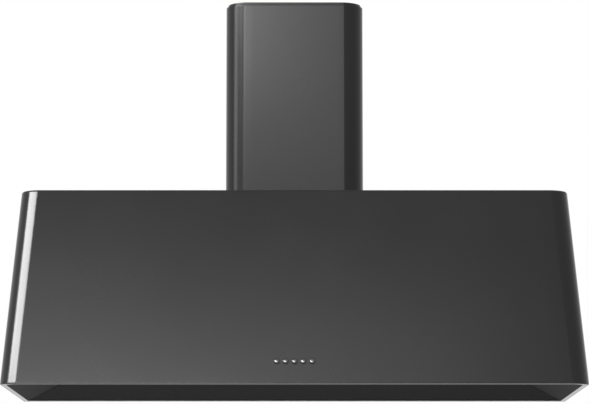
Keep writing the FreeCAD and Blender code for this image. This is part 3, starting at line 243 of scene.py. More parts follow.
def castMetal():
    f = Finish("castMetal")
    grit = f.noise(520.0, 4.0)
    patch = f.noise(24.0, 4.0)
    return f.made(
        baseColor=f.mixed(patch, (0.44, 0.45, 0.46, 1), (0.58, 0.585, 0.59, 1)),
        roughness=0.36 + grit * 0.18,
        metallic=1.0,
        normal=f.bump(grit, 0.00005),
    )


def circuitBoard():
    f = Finish("circuitBoard")
    mask = f.noise(300.0, 3.0)
    track = f.add("TexBrick", {}, {"Vector": f.place, "Scale": 210.0, "Mortar Size": 0.05}, out="Fac")
    return f.made(
        baseColor=f.mixed(track, (0.72, 0.73, 0.71, 1), (0.42, 0.43, 0.42, 1)),
        roughness=0.3 + mask * 0.15,
        normal=f.bump(track, 0.00004),
    )


def softRubber():
    f = Finish("softRubber")
    grain = f.noise(700.0, 3.0)
    bloom = f.noise(50.0, 3.0)
    return f.made(
        baseColor=f.mixed(bloom, grey(0.018), grey(0.032)),
        roughness=0.62 + grain * 0.2,
        normal=f.bump(grain, 0.00004),
    )


def brightSteel():
    f = Finish("brightSteel")
    turning = f.noise(260.0, 3.0, f.stretched(6, 1, 6))
    tint = f.noise(60.0, 3.0)
    return f.made(
        baseColor=f.mixed(tint, (0.55, 0.56, 0.57, 1), (0.66, 0.65, 0.62, 1)),
        roughness=0.2 + turning * 0.16,
        metallic=1.0,
        normal=f.bump(turning, 0.00002),
    )


finishes = {
    "paint": satinPaint(),
    # the paint with painted shade darkening its top fold and rim fold, for the canopy skin
    "foldShadedPaint": satinPaint("foldShadedPaint", fold=True),
    # a nearly unreflecting paint for the mitre beads: a seam, whose black is painted shade standing in
    # for the shade in the pan's mitre folds
    "sealantAndShade": satinPaint("sealantAndShade", 0.9, 0.01),
    "innerPaint": satinPaint("innerPaint", 0.56, 0.03),
    "galvanised": galvanisedSheet(),
    "aluminium": brushedAluminium(),
    "meshAluminium": brushedAluminium("meshAluminium", (1, 1, 1), 0.62),
    "latch": mouldedPlastic("latchPlastic", 0.035, 0.05, 0.42),
    "chrome": polishedChrome(),
    # button caps and collars: chrome darkened to near black, partly a black chrome finish and partly
    # painted reflection of a dark room
    "buttonBlackChromeWithPaintedReflection": polishedChrome("buttonBlackChromeWithPaintedReflection", 0.13, 0.16),
    "collarBlackChromeWithPaintedReflection": polishedChrome("collarBlackChromeWithPaintedReflection", 0.03, 0.045),
    "blackPlastic": mouldedPlastic("blackPlastic", 0.014, 0.024, 0.38),
    "glass": frostedGlass(),
    "castMetal": castMetal(),
    "board": circuitBoard(),
    "rubber": softRubber(),
    "steel": brightSteel(),
}
print("finishes made:", len(finishes))


# helpers that draw shapes in millimetres and give each piece its finish and body
def addPiece(name, draw, finish, body, replaces=(), soft=32, modifiers=()):
    work = bmesh.new()
    draw(work)
    bmesh.ops.remove_doubles(work, verts=work.verts, dist=0.000002)
    bmesh.ops.recalc_face_normals(work, faces=work.faces)
    for face in work.faces:
        face.smooth = True
    for edge in work.edges:
        edge.smooth = len(edge.link_faces) == 2 and edge.calc_face_angle() < math.radians(soft)
    mesh = bpy.data.meshes.new(name)
    work.to_mesh(mesh)
    work.free()
    mesh.materials.append(finishes[finish])
    piece = bpy.data.objects.new(name, mesh)
    bpy.context.scene.collection.objects.link(piece)
    for kind, settings in modifiers:
        modifier = piece.modifiers.new(kind.title(), kind)
        for key, value in settings.items():
            setattr(modifier, key, value)
    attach(piece, body)
    if replaces:
        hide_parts(*replaces)


def roundEdges(width):
    sharp = {"limit_method": "ANGLE", "angle_limit": math.radians(40)}
    return ("BEVEL", {"width": width * mm, "segments": 2, **sharp})


def thickness(sheet):
    return ("SOLIDIFY", {"thickness": sheet * mm, "offset": -1.0, "use_even_offset": True})


# the CAD solid with its facets joined and its edges rounded, for a piece whose shape is right already
def softened(node, finish, body, slot, width):
    def draw(work):
        work.from_mesh(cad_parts[node].data)
        bmesh.ops.remove_doubles(work, verts=work.verts, dist=0.00001)
        flat = {"angle_limit": math.radians(1), "verts": work.verts, "edges": work.edges}
        bmesh.ops.dissolve_limit(work, **flat)

    addPiece(node + "Dressed", draw, finish, body, [node], modifiers=[roundEdges(width)])


# a profile of radius and height, turned about the place's own Z
def turnedForm(work, profile, place, around, closed=False):
    rings = []
    for radius, height in profile:
        count = 1 if radius == 0 else around
        ring = []
        for k in range(count):
            turn = 2 * math.pi * k / around
            spot = Vector((radius * mm * math.cos(turn), radius * mm * math.sin(turn), height * mm))
            ring.append(work.verts.new(place @ spot))
        rings.append(ring)
    pairs = list(zip(rings, rings[1:])) + ([(rings[-1], rings[0])] if closed else [])
    for first, second in pairs:
        for k in range(around):
            corners = [first[k % len(first)], first[(k + 1) % len(first)]]
            corners += [second[(k + 1) % len(second)], second[k % len(second)]]
            kept = list(dict.fromkeys(corners))
            if len(kept) > 2:
                work.faces.new(kept)


def block(work, low, high, chamfer=0.0, place=Matrix(), segments=1):
    made = bmesh.ops.create_cube(work, size=1)["verts"]
    middle = (Vector(low) + Vector(high)) / 2 * mm
    for vert in made:
        span = Vector([(b - a) * mm for a, b in zip(low, high)])
        vert.co = place @ (middle + Vector([c * s for c, s in zip(vert.co, span)]))
    if chamfer:
        edges = list({edge for vert in made for edge in vert.link_edges})
        shape = {"offset": chamfer * mm, "segments": segments, "affect": "EDGES", "profile": 0.5}
        bmesh.ops.bevel(work, geom=edges, **shape)


def moved(x, y, z, turn=0, axis="X"):
    return Matrix.Translation(Vector((x, y, z)) * mm) @ Matrix.Rotation(math.radians(turn), 4, axis)


def prism(work, plan, low, high, place):
    bottom = [work.verts.new(place @ Vector((x * mm, y * mm, low * mm))) for x, y in plan]
    top = [work.verts.new(place @ Vector((x * mm, y * mm, high * mm))) for x, y in plan]
    work.faces.new(bottom[::-1])
    work.faces.new(top)
    for k in range(len(plan)):
        n = (k + 1) % len(plan)
        work.faces.new([bottom[k], bottom[n], top[n], top[k]])


def grid(work, rows, skip=None):
    verts = [[work.verts.new(Vector(point) * mm) for point in row] for row in rows]
    for i in range(len(verts) - 1):
        for j in range(len(verts[i]) - 1):
            if not (skip and skip(i, j)):
                work.faces.new([verts[i][j], verts[i][j + 1], verts[i + 1][j + 1], verts[i + 1][j]])


def steps(first, last, count):
    return [first + (last - first) * k / count for k in range(count + 1)]


# canopy: front and sides folded from one sheet, with a rounded fold at the top and a rim below
canopy = {
    "width": 1100.0,
    "depth": 500.0,
    "height": 372.0,
    "topWidth": 1039.0,
    "topDepth": 435.0,
    "cornerRadius": 38.6,
    "crease": (7.0, 7.0, 20),
    "topFold": 2.6,
    "topLap": 5.0,
    "rimFold": 1.8,
    "rimWidth": 12.0,
    "sheet": 1.2,
    "lidSeam": 0.7,
    "lidDrop": 0.15,
    "lidSheet": 1.1,
    "flangeInset": 1.6,
    "flange": (1.3, 17.2),
    "ductOpening": (73, -184, -68),
    "glandHole": (108, -34, 6.4),
}


# plan of a pressed corner: a tight crease, the wide bend in so many steps, and the crease again
def cornerPlan(radius, creaseRadius, creaseTurn, fine):
    crease = (creaseRadius, creaseTurn, 3)
    points = [Vector((0, 0))]
    heading = 0.0
    for bend, turn, count in (crease, (radius, 90 - 2 * creaseTurn, fine), crease):
        for _ in range(count):
            part = math.radians(turn / count)
            chord = 2 * bend * math.sin(part / 2)
            heading += part / 2
            points.append(points[-1] + Vector((chord * math.cos(heading), chord * math.sin(heading))))
            heading += part / 2
    return points


# stations round a U-shaped plan, from the left rear to the right rear
def roundFront(half, rear, front, radius, sideSteps, frontSteps, crease):
    corner = cornerPlan(radius, *crease)
    reach, rise = corner[-1].x, corner[-1].y
    right = [(half, y) for y in steps(rear, front + reach, sideSteps)[:-1]]
    right += [(half - p.y, front + reach - p.x) for p in corner]
    left = [(-x, y) for x, y in right]
    middle = [(x, front) for x in steps(-half + rise, half - rise, frontSteps)[1:-1]]
    return left + middle + right[::-1]


def canopyPlan(level, inset):
    c = canopy
    share = level / c["height"]
    half = c["width"] / 2 - (c["width"] - c["topWidth"]) / 2 * share - inset
    front = -c["depth"] + (c["depth"] - c["topDepth"]) * share + inset
    radius = max(c["cornerRadius"] - inset, 4)
    return roundFront(half, 0.0, front, radius, 6, 30, c["crease"])


def canopySkin(work):
    c = canopy
    fold, rim, top = c["topFold"], c["rimFold"], c["height"]
    profile = [(fold + c["topLap"], top), (fold, top), (fold * 0.93, top - 0.05)]
    profile += [(0.35, top - fold * 0.8), (0.12, top - fold * 0.9), (0, top - fold)]
    profile += [(0, top - fold - 1), (0, top - fold - 2)]
    profile += [(0, level) for level in steps(top - fold - 2, rim + 2, 16)[1:]]
    profile += [(0, rim + 1)]
    profile += [(rim - rim * math.cos(t), rim - rim * math.sin(t)) for t in steps(0, math.pi / 2, 5)]
    profile += [(c["rimWidth"], 0)]
    grid(work, [[(x, y, level) for x, y in canopyPlan(level, inset)] for inset, level in profile])


def outlineEdges(work, points, level):
    verts = [work.verts.new(Vector((x, y, level)) * mm) for x, y in points]
    return [work.edges.new((verts[k], verts[(k + 1) % len(verts)])) for k in range(len(verts))]


def sheetWithHoles(work, outline, holes, level):
    edges = outlineEdges(work, outline, level)
    for hole in holes:
        edges += outlineEdges(work, hole, level)
    bmesh.ops.triangle_fill(work, use_beauty=True, edges=edges)


def canopyLid(work):
    c = canopy
    top = c["height"]
    border = canopyPlan(top, c["topFold"] + c["topLap"] + c["lidSeam"])
    half, front, rear = c["ductOpening"]
    opening = [(-half, front), (half, front), (half, rear), (-half, rear)]
    x, y, r = c["glandHole"]
    gland = [(x + r * math.cos(t), y + r * math.sin(t)) for t in steps(0, 2 * math.pi, 24)[:-1]]
    sheetWithHoles(work, border, [opening, gland], top - c["lidDrop"])
    inner = canopyPlan(top, c["flangeInset"])
    grid(work, [[(x, y, top - drop) for x, y in inner] for drop in c["flange"]])


skinSheet = [thickness(canopy["sheet"])]
lidSheet = [thickness(canopy["lidSheet"])]
# the skin's paint carries painted shade along its top fold and rim fold
addPiece(
    "canopySkin", canopySkin, "foldShadedPaint", "hood",
    ["canopy_shell"], modifiers=skinSheet,
)
addPiece("canopyLid", canopyLid, "paint", "hood", ["canopy_top"], modifiers=lidSheet)
print("canopy made")


# flue covers, with the crease that a press leaves beside each wide bend
flue = {
    "half": 135.0,
    "depth": 262.0,
    "radius": 43.0,
    "crease": (9.0, 8.0, 22),
    "back": 18.0,
    "sheet": 1.2,
    "inset": 3.7,
    "low": (372.0, 767.0),
    "high": (384.0, 772.0),
    "hem": 1.1,
    "ventMiddle": -131.0,
    "ventLength": 60.0,
    "ventWidth": 5.0,
    "ventPitch": 11.0,
    "ventTop": 710.0,
    "ventCount": 7,
}


def fluePlan(inset, shrink=0.0):
    f = flue
    half, front = f["half"] - inset - shrink, -f["depth"] + inset + shrink
    mid, reach = f["ventMiddle"], f["ventLength"] / 2
    plan = roundFront(half, -inset - shrink, front, f["radius"] - inset, 1, 12, f["crease"])
    ends = [(half, y) for y in (mid + reach, mid - reach)]
    right = [plan[-1]] + ends
    left = [(-x, y) for x, y in right]
    back = (half - f["back"], -inset - shrink)
    return [(-back[0], back[1])] + left + plan[1:-1] + right[::-1] + [back]


def flueCover(inset, low, high, vents):
    f = flue
    hem = f["hem"]
    levels = [(hem, low), (0.3 * hem, low + 0.3 * hem)]
    levels += [(0, low + hem), (0, low + 2 * hem), (0, low + 3 * hem)]
    rows = []
    if vents:
        rows = [f["ventTop"] - f["ventPitch"] * k for k in range(f["ventCount"])]
        for top in rows[::-1]:
            levels += [(0, top - f["ventWidth"]), (0, top)]
    levels += [(0, high - 3 * hem), (0, high - 2 * hem), (0, high - hem)]
    levels += [(0.3 * hem, high - 0.3 * hem), (hem, high)]

    def draw(work):
        plans = [[(x, y, level) for x, y in fluePlan(inset, shrink)] for shrink, level in levels]
        middles = [(first[1] + second[1]) / 2 for first, second in zip(levels, levels[1:])]
        last = len(plans[0]) - 2

        def slot(i, j):
            inside = any(top - f["ventWidth"] < middles[i] < top for top in rows)
            return inside and j in (2, last - 2)

        grid(work, plans, slot)

    return draw


lowCover = flueCover(0.0, *flue["low"], False)
highCover = flueCover(flue["inset"], *flue["high"], True)
coverSheet = [thickness(flue["sheet"])]
addPiece("chimneyCover", lowCover, "paint", "hood", ["chimney_lower"], modifiers=coverSheet)
addPiece(
    "chimneySlider", highCover, "paint", "upper_chimney",
    ["chimney_upper"], modifiers=coverSheet,
)
print("flue covers made")


# push buttons in the leaning front: domed caps inside rolled collars, in chrome darkened to near black,
# partly a black chrome finish and partly painted reflection of a dark room
buttons = {
    "count": 5,
    "lean": 9.911,
    "surface": (-492.67, 41.96),
    "pitch": 16.5,
    "capRadius": 3.75,
    "dome": 0.48,
    "domeStep": 0.42,
    "proud": 3.6,
    "collarRadius": 5.4,
}


def onFront(x):
    y, z = buttons["surface"]
    return moved(x, y, z, 90 - buttons["lean"], "X")


def buttonCap(x):
    r, h, step = buttons["capRadius"], buttons["proud"], buttons["domeStep"]
    cap = [(k * step, h - buttons["dome"] * (k * step / r) ** 2) for k in range(9)]
    cap += [(r - 0.16, h - 0.58), (r - 0.02, h - 0.78), (r, h - 1.05), (r, -0.6)]
    cap += [(4.0, -0.9), (4.1, -1.3), (4.1, -7.2), (3.8, -7.4), (0, -7.4)]

    def draw(work):
        turnedForm(work, cap, onFront(x), 48)
        block(work, (-1.3, -1.3, -17.4), (1.3, 1.3, -7.3), 0.2, onFront(x))
        for side in (-1, 1):
            block(work, (-0.5, side * 1.1 - 0.35, -14.0), (0.5, side * 1.1 + 0.35, -7.6), 0.1, onFront(x))

    return draw


def buttonPlace(number):
    return (number - (buttons["count"] + 1) / 2) * buttons["pitch"]


def collarRings(work):
    ring = [(4.2, -3.1), (4.2, -1.4), (4.62, -0.9), (4.66, 0.1), (4.72, 0.5), (4.86, 0.82), (5.02, 0.9)]
    rim = buttons["collarRadius"]
    ring += [(5.2, 0.82), (5.34, 0.55), (rim, 0.15), (rim, -3.1)]
    for number in range(1, buttons["count"] + 1):
        turnedForm(work, ring, onFront(buttonPlace(number)), 48, True)


for number in range(1, buttons["count"] + 1):
    node = f"push_button_{number}"
    cap = buttonCap(buttonPlace(number))
    addPiece(f"chromeCap{number}", cap, "buttonBlackChromeWithPaintedReflection", node, [node])
addPiece("buttonCollars", collarRings, "collarBlackChromeWithPaintedReflection", "hood", ["button_collars"])
print("buttons made")


# grease filters: framed cassettes with two crimped layers of expanded aluminium, and their catches
filters = {
    "places": {"left": -298.0, "centre": 0.0, "right": 298.0},
    "halfWidth": 139.0,
    "rear": -104.0,
    "front": -316.0,
    "pitchAcross": 11.5,
    "pitchAlong": 6.6,
    "strandWide": 1.25,
    "strandThick": 0.45,
    "tilts": (0.55, 0.35),
    "layers": (31.3, 35.0),
    "crimp": 0.8,
    "crimpPitch": 23.0,
}


def strand(work, first, second, wide, thick, tilt):
    along = (second - first).normalized()
    across = along.cross(Vector((0, 0, 1))).normalized()
    lift = Vector((0, 0, 1)) * tilt
    a, b = (across + lift).normalized() * wide / 2 * mm, Vector((0, 0, thick / 2)) * mm
    corners = ((-1, -1), (1, -1), (1, 1), (-1, 1))
    ends = [[work.verts.new(p + s * a + t * b) for s, t in corners] for p in (first, second)]
    for k in range(4):
        n = (k + 1) % 4
        work.faces.new([ends[0][k], ends[0][n], ends[1][n], ends[1][k]])


def filterMesh(centre):
    g = filters

    def draw(work):
        columns = int(g["halfWidth"] * 2 / g["pitchAcross"])
        rows = int((g["rear"] - g["front"]) / g["pitchAlong"])
        for layer, level in enumerate(g["layers"]):
            def knot(column, row):
                x = centre - g["halfWidth"] + column * g["pitchAcross"] + layer * g["pitchAcross"] / 4
                y = g["front"] + row * g["pitchAlong"]
                wave = math.sin(2 * math.pi * (x if layer else y) / g["crimpPitch"])
                return Vector((x, y, level + g["crimp"] * wave)) * mm

            for row in range(rows):
                for column in range(columns):
                    middle = knot(column + 0.5, row + 0.5)
                    for r, tilt in zip((row, row + 1), g["tilts"]):
                        for c in (column, column + 1):
                            strand(work, knot(c, r), middle, g["strandWide"], g["strandThick"], tilt)

    return draw


# sliding catch, bar by bar: middle and half width across, front, rear, bottom, top, chamfer, its steps
latch = {
    "plate": (0, 12, -346, -329, 28.2, 29.8, 0.35, 1),
    "nose": (0, 9, -346, -341.5, 29.6, 32.9, 0.5, 1),
    "grip": (0, 10.5, -331, -328.3, 22.0, 29.6, 0.6, 2),
    "rib": (-8.2, 0.6, -331.6, -330.6, 22.8, 28.4, 0.22, 1),
    "cheek": (10.6, 1, -345, -332, 29.6, 30.9, 0.3, 1),
    "ribs": 6,
    "ribPitch": 3.28,
}


def latchForm(centre):
    def bar(work, name, x):
        half, front, rear, low, high, chamfer, count = latch[name][1:]
        block(work, (x - half, front, low), (x + half, rear, high), chamfer, segments=count)

    def draw(work):
        for name in ("plate", "nose", "grip"):
            bar(work, name, centre)
        for k in range(latch["ribs"]):
            bar(work, "rib", centre + latch["rib"][0] + k * latch["ribPitch"])
        for side in (-1, 1):
            bar(work, "cheek", centre + side * latch["cheek"][0])

    return draw


for side, centre in filters["places"].items():
    body, catch, sheet = f"filter_{side}", f"filter_latch_{side}", "filter_aluminium"
    name = side.title()
    addPiece(f"mesh{name}", filterMesh(centre), "meshAluminium", body, [f"filter_mesh_{side}"], 20)
    softened(f"filter_frame_{side}", "aluminium", body, sheet, 0.35)
    addPiece(f"catch{name}", latchForm(centre), "latch", catch, [catch])
print("filters made")


# sealed mitres where the four sloping borders of the pan meet, their beads dull and nearly unreflecting
# so they read black, as painted shade in the mitre folds: half width, front, rear and level
pan = {
    "outer": (538.0, 488.0, 12.0, 1.9),
    "inner": (467.0, 417.0, 83.0, 30.3),
    "bead": 12.0,
    "proud": 1.0,
    "sunk": 0.1,
    "swell": 0.12,
    "swellTurns": 37,
}


def panSeams(work):
    x0, front0, rear0, z0 = pan["outer"]
    x1, front1, rear1, z1 = pan["inner"]
    for side in (-1, 1):
        for y0, y1 in ((-front0, -front1), (-rear0, -rear1)):
            start, end = Vector((side * x0, y0, z0)), Vector((side * x1, y1, z1))
            along = (end - start).normalized()
            across = along.cross(Vector((0, 0, 1))).normalized()
            down = across.cross(along).normalized()
            down = down if down.z < 0 else -down
            rows = []
            for t in steps(0, 1, 24):
                middle = start.lerp(end, t)
                swell = 1 + pan["swell"] * math.sin(pan["swellTurns"] * t + side)
                row = []
                for a in steps(0, math.pi, 6):
                    sideways = across * pan["bead"] / 2 * swell * math.cos(a)
                    row.append(middle + sideways + down * (pan["proud"] * math.sin(a) - pan["sunk"]))
                rows.append(row)
            grid(work, rows)


addPiece("panSeams", panSeams, "sealantAndShade", "hood")


# lamps: trim ring, frosted lens with moulded rings, finned housing and its board
lamps = {
    "across": 298.0,
    "inset": -383.0,
    "rings": 6,
    "firstRing": 3.0,
    "ringPitch": 3.1,
    "fins": 20,
    "chipPitch": 7.0,
}


def atLamps(draw):
    def both(work):
        for side in (-1, 1):
            draw(work, moved(side * lamps["across"], lamps["inset"], 0))

    return both


def bezelForm(work, place):
    ring = [(22.9, 33.0), (22.9, 30.2), (23.3, 29.5), (24.2, 29.1), (25.0, 28.75), (27.0, 28.6)]
    ring += [(28.6, 28.65), (29.3, 28.95), (29.5, 29.5), (29.5, 30.1), (25.0, 30.15), (24.8, 33.0)]
    turnedForm(work, ring, place, 96, True)


def lensForm(work, place):
    face = [(0, 29.45)]
    for k in range(lamps["rings"]):
        r = lamps["firstRing"] + k * lamps["ringPitch"]
        face += [(r, 29.4), (r + 0.35, 29.62), (r + 1.1, 29.62), (r + 1.45, 29.42)]
    face += [(22.0, 29.45), (22.5, 29.7), (22.6, 30.2), (22.6, 31.6), (22.4, 31.8), (0, 31.8)]
    turnedForm(work, face, place, 96)


def housingForm(work, place):
    cup = [(24.6, 31.2), (27.6, 31.2), (28.0, 31.6), (28.0, 33.4), (26.6, 34.0), (26.6, 59.0)]
    cup += [(26.0, 60.4), (24.4, 61.2), (0, 61.2)]
    turnedForm(work, cup, place, 72)
    inside = [(24.6, 31.2), (24.4, 45.0), (21.0, 57.0), (16.0, 59.7), (0, 59.7)]
    turnedForm(work, inside, place, 72)
    for k in range(lamps["fins"]):
        turn = place @ Matrix.Rotation(2 * math.pi * k / lamps["fins"], 4, "Z")
        block(work, (26.2, -0.55, 36.0), (27.95, 0.55, 58.5), 0.25, turn)


def boardForm(work, place):
    block(work, (-13, -13, 58.1), (13, 13, 59.7), 0.15, place)
    for row in range(3):
        for column in range(3):
            x, y = (column - 1) * lamps["chipPitch"], (row - 1) * lamps["chipPitch"]
            block(work, (x - 1.4, y - 1.4, 57.7), (x + 1.4, y + 1.4, 58.3), 0.2, place)


addPiece("lampTrims", atLamps(bezelForm), "chrome", "hood", ["lamp_bezels"])
addPiece("lampLenses", atLamps(lensForm), "glass", "hood", ["lamp_lenses"])
addPiece("lampCups", atLamps(housingForm), "castMetal", "hood", ["lamp_housings"])
addPiece("lampBoards", atLamps(boardForm), "board", "hood", ["lamp_boards"])
print("lamps made")


# fan wheel: forward-curved blades between a middle disc and two end rings
wheel = {
    "centre": (0.0, -213.5, 207.0),
    "half": 58.0,
    "arms": 6,
    "blades": 22,
    "bladeSheet": 0.9,
    "bladeRadius": 11.0,
    "bladeCentre": 81.5,
    "bladeDrop": 6.0,
    "bladeTurn": (36.0, 112.0),
}


def wheelForm(work):
    w = wheel
    place = moved(*w["centre"], 90, "Y")
    for side in (-1, 1):
        ring = [(84.0, -1.2), (84.0, 1.0), (84.6, 1.25), (91.3, 1.25), (91.9, 0.8), (91.9, -1.2)]
        turnedForm(work, [(r, side * (h + w["half"] - 1.3)) for r, h in ring], place, 96, True)
    disc = [(4.0, 7.5), (8.5, 7.5), (9.5, 7.0), (10.5, 2.0), (13.0, 1.2), (60.0, 1.0), (66.0, 1.8)]
    disc += [(91.0, 1.8), (92.0, 1.2), (92.0, -1.2), (66.0, -0.6), (60.0, -1.2), (13.0, -1.2)]
    disc += [(10.5, -2.0), (9.5, -6.9), (4.0, -6.9)]
    turnedForm(work, disc, place, 96, True)
    for k in range(w["arms"]):
        arm = place @ Matrix.Rotation(2 * math.pi * k / w["arms"], 4, "Z")
        block(work, (10.0, -0.8, 0.8), (58.0, 0.8, 3.2), 0.3, arm)
    outer, inner = [], []
    for turn in steps(*w["bladeTurn"], 9):
        a = math.radians(turn)
        for face, way in ((outer, 1), (inner, -1)):
            radius = w["bladeRadius"] + way * w["bladeSheet"] / 2
            face.append((w["bladeDrop"] - radius * math.sin(a), w["bladeCentre"] + radius * math.cos(a)))
    for k in range(w["blades"]):
        turned = place @ Matrix.Rotation(2 * math.pi * k / w["blades"], 4, "Z")
        for low, high in ((1 - w["half"], -0.8), (0.8, w["half"] - 1)):
            prism(work, outer + inner[::-1], low, high, turned)


addPiece("fanWheel", wheelForm, "blackPlastic", "fan_wheel", ["impeller"], 40)
print("fan wheel made")


# motor: end shields, a stack of laminations between them, raised vent panels and four bolts
motor = {
    "stack": 9,
    "stackStart": 37.0,
    "stackPitch": 3.0,
    "panels": 10,
    "panelRows": (31.5, 69.5),
    "bolts": 4,
    "boltRadius": 37.5,
}


def motorForm(work):
    m = motor
    place = moved(*wheel["centre"], 90, "Y")
    shell = [(4.1, 17.0), (9.0, 17.0), (11.0, 18.0), (12.5, 20.0), (30.0, 21.5), (38.0, 22.5)]
    shell += [(42.0, 25.0), (43.2, 28.0), (43.2, 36.0), (44.6, 36.4)]
    for k in range(m["stack"]):
        x = m["stackStart"] + k * m["stackPitch"]
        shell += [(45.0, x), (46.0, x + 0.4), (46.0, x + 2.2), (45.0, x + 2.6)]
    shell += [(44.6, 64.4), (43.2, 65.0), (43.2, 74.0), (42.0, 77.5)]
    shell += [(38.0, 80.0), (12.0, 81.0), (4.1, 81.0)]
    turnedForm(work, shell, place, 96, True)
    for k in range(m["panels"]):
        turn = place @ Matrix.Rotation(2 * math.pi * k / m["panels"], 4, "Z")
        for x in m["panelRows"]:
            block(work, (42.2, -4.6, x - 2.6), (43.7, 4.6, x + 2.6), 0.5, turn)
    bolt = [(0, 24.0), (2.2, 24.0), (2.6, 24.4), (2.6, 27.5), (0, 27.5)]
    for k in range(m["bolts"]):
        turn = place @ Matrix.Rotation(2 * math.pi * (k + 0.5) / m["bolts"], 4, "Z")
        turnedForm(work, bolt, turn @ moved(m["boltRadius"], 0, 0), 20)


addPiece("motorForm", motorForm, "castMetal", "hood", ["motor_body"])
print("motor made")


# blower housings: the scroll itself, then ribs and a moulded inlet ring on each half
scroll = {"ribs": 9, "edge": 0.4}


def housingTrim(work):
    ring = [(74.2, 72.5), (74.2, 76.4), (75.2, 77.6), (77.0, 78.0), (79.0, 77.2)]
    ring += [(80.0, 75.2), (80.0, 74.6)]
    for side in (-1, 1):
        place = moved(*wheel["centre"], 90 * side, "Y")
        turnedForm(work, ring, place, 96, True)
        for k in range(scroll["ribs"]):
            turn = place @ Matrix.Rotation(2 * math.pi * k / scroll["ribs"], 4, "Z")
            block(work, (80.5, -0.9, 74.8), (100.0, 0.9, 77.2), 0.4, turn)


for side in ("left", "right"):
    softened(f"blower_housing_{side}", "blackPlastic", "hood", "black_plastic", scroll["edge"])
addPiece("housingTrim", housingTrim, "blackPlastic", "hood")
print("blower made")


# capacitor: crimped can with two tabs; it lies along X
def capacitorForm(work):
    low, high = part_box("capacitor")
    y = (low.y + high.y) / 2 / mm
    z = (low.z + high.z) / 2 / mm
    place = moved(low.x / mm, y, z, 90, "Y")
    long = (high.x - low.x) / mm
    can = [(0, 0.2), (3.4, 0.2), (3.9, 0.8), (3.9, 11.4), (4.2, 11.8), (15.2, 12.2), (16.4, 12.8)]
    can += [(17.0, 13.8), (17.0, 16.0), (16.2, 16.8), (16.2, 17.8), (16.9, 18.6), (16.9, long - 4.0)]
    can += [(16.4, long - 2.4), (15.0, long - 1.8), (14.4, long - 2.6), (0, long - 2.6)]
    turnedForm(work, can, place, 72)
    for side in (-1, 1):
        block(work, (side * 5.5 - 3.1, -0.4, long - 2.8), (side * 5.5 + 3.1, 0.4, long), 0.12, place)


addPiece("capacitorCan", capacitorForm, "castMetal", "hood", ["capacitor"])


# screws: a flanged hexagon whose dished crown holds a small raised cross, at each seat
screws = {
    "height": 2.0,
    "foot": [(side * 125.8, -131, 370.8, 180, "X") for side in (-1, 1)],
    "spigot": [(x, y, 374.5) for x in (-82, 82) for y in (-213, -49)],
    "side": [(side * 131.3, -24, 750, 90 * side, "Y") for side in (-1, 1)],
}


def screwHead(work, place):
    high = screws["height"]
    flange = [(0, 0), (3.7, 0), (3.8, 0.25), (3.5, 0.55), (0, 0.6)]
    turnedForm(work, flange, place, 40)
    hexagon = [(3.0 * math.cos(math.pi * k / 3), 3.0 * math.sin(math.pi * k / 3)) for k in range(6)]
    prism(work, hexagon, 0.5, high - 0.3, place)
    crown = [(2.7, high - 0.3), (2.45, high), (1.7, high - 0.05), (0.9, high - 0.5), (0, high - 0.6)]
    turnedForm(work, crown, place, 40)
    for turn in (0, 90):
        arm = place @ Matrix.Rotation(math.radians(turn), 4, "Z")
        block(work, (-1.6, -0.22, high - 0.5), (1.6, 0.22, high - 0.12), 0.05, arm)


def screwSet(name):
    def draw(work):
        for seat in screws[name]:
            screwHead(work, moved(*seat))

    return draw


addPiece("footScrews", screwSet("foot"), "steel", "hood", ["chimney_screws"])
addPiece("spigotScrews", screwSet("spigot"), "steel", "hood", ["spigot_screws"])
addPiece("sideScrews", screwSet("side"), "steel", "upper_chimney", ["flue_bracket_screws"])
print("screws made")


# pieces whose CAD shape is right: finish, body, slot and the width of their rounded edges
dressed = {
    "control_box": ("blackPlastic", "hood", "black_plastic", 0.6),
    "control_box_lid": ("blackPlastic", "hood", "black_plastic", 0.5),
    "switch_housing": ("blackPlastic", "hood", "black_plastic", 0.5),
    "outlet_spigot": ("blackPlastic", "hood", "black_plastic", 0.3),
    "damper_flap_front": ("blackPlastic", "damper_flap_front", "black_plastic", 0.25),
    "damper_flap_rear": ("blackPlastic", "damper_flap_rear", "black_plastic", 0.25),
    "cable_gland": ("blackPlastic", "hood", "black_plastic", 0.4),
    "wall_brackets": ("galvanised", "hood", "galvanised", 0.3),
    "flue_wall_bracket": ("galvanised", "upper_chimney", "galvanised", 0.2),
    "blower_hangers": ("galvanised", "hood", "galvanised", 0.2),
    "switch_bracket": ("galvanised", "hood", "galvanised", 0.2),
    "motor_bracket": ("galvanised", "hood", "galvanised", 0.2),
    "rear_stiffener": ("galvanised", "hood", "galvanised", 0.2),
    "back_panel": ("galvanised", "hood", "galvanised", 0.2),
    "underside_pan": ("innerPaint", "hood", "body_paint", 0.25),
    "motor_grommets": ("rubber", "hood", "bush_rubber", 0.5),
    "motor_shaft": ("steel", "fan_wheel", "bright_steel", 0.3),
    "damper_pins": ("steel", "hood", "bright_steel", 0.15),
}
for name, look in dressed.items():
    softened(name, *look)
print("dressed pieces made:", len(dressed))


# studio: pale floor well below the hood, four area lights and a plain world
studio = {
    "floorLevel": -1.1,
    "floorRadius": 6.0,
    "fadeStart": 2.0,
    "aim": (0.0, -0.3, 0.36),
    "skyLight": 0.42,
}

# each light: azimuth, elevation, distance, width, height and radiance
softboxes = {
    "wideSoftbox": (-9.7, 15.4, 7.0, 4.0, 2.2, 2.35),
    "frontSoftbox": (-12, 15.6, 7.0, 2.5, 0.6, 15.5),
    "leftFill": (-68, 12, 4.0, 1.3, 0.8, 4.0),
    "leftStrip": (-51, 24.3, 8.0, 6.0, 1.8, 41.0),
}


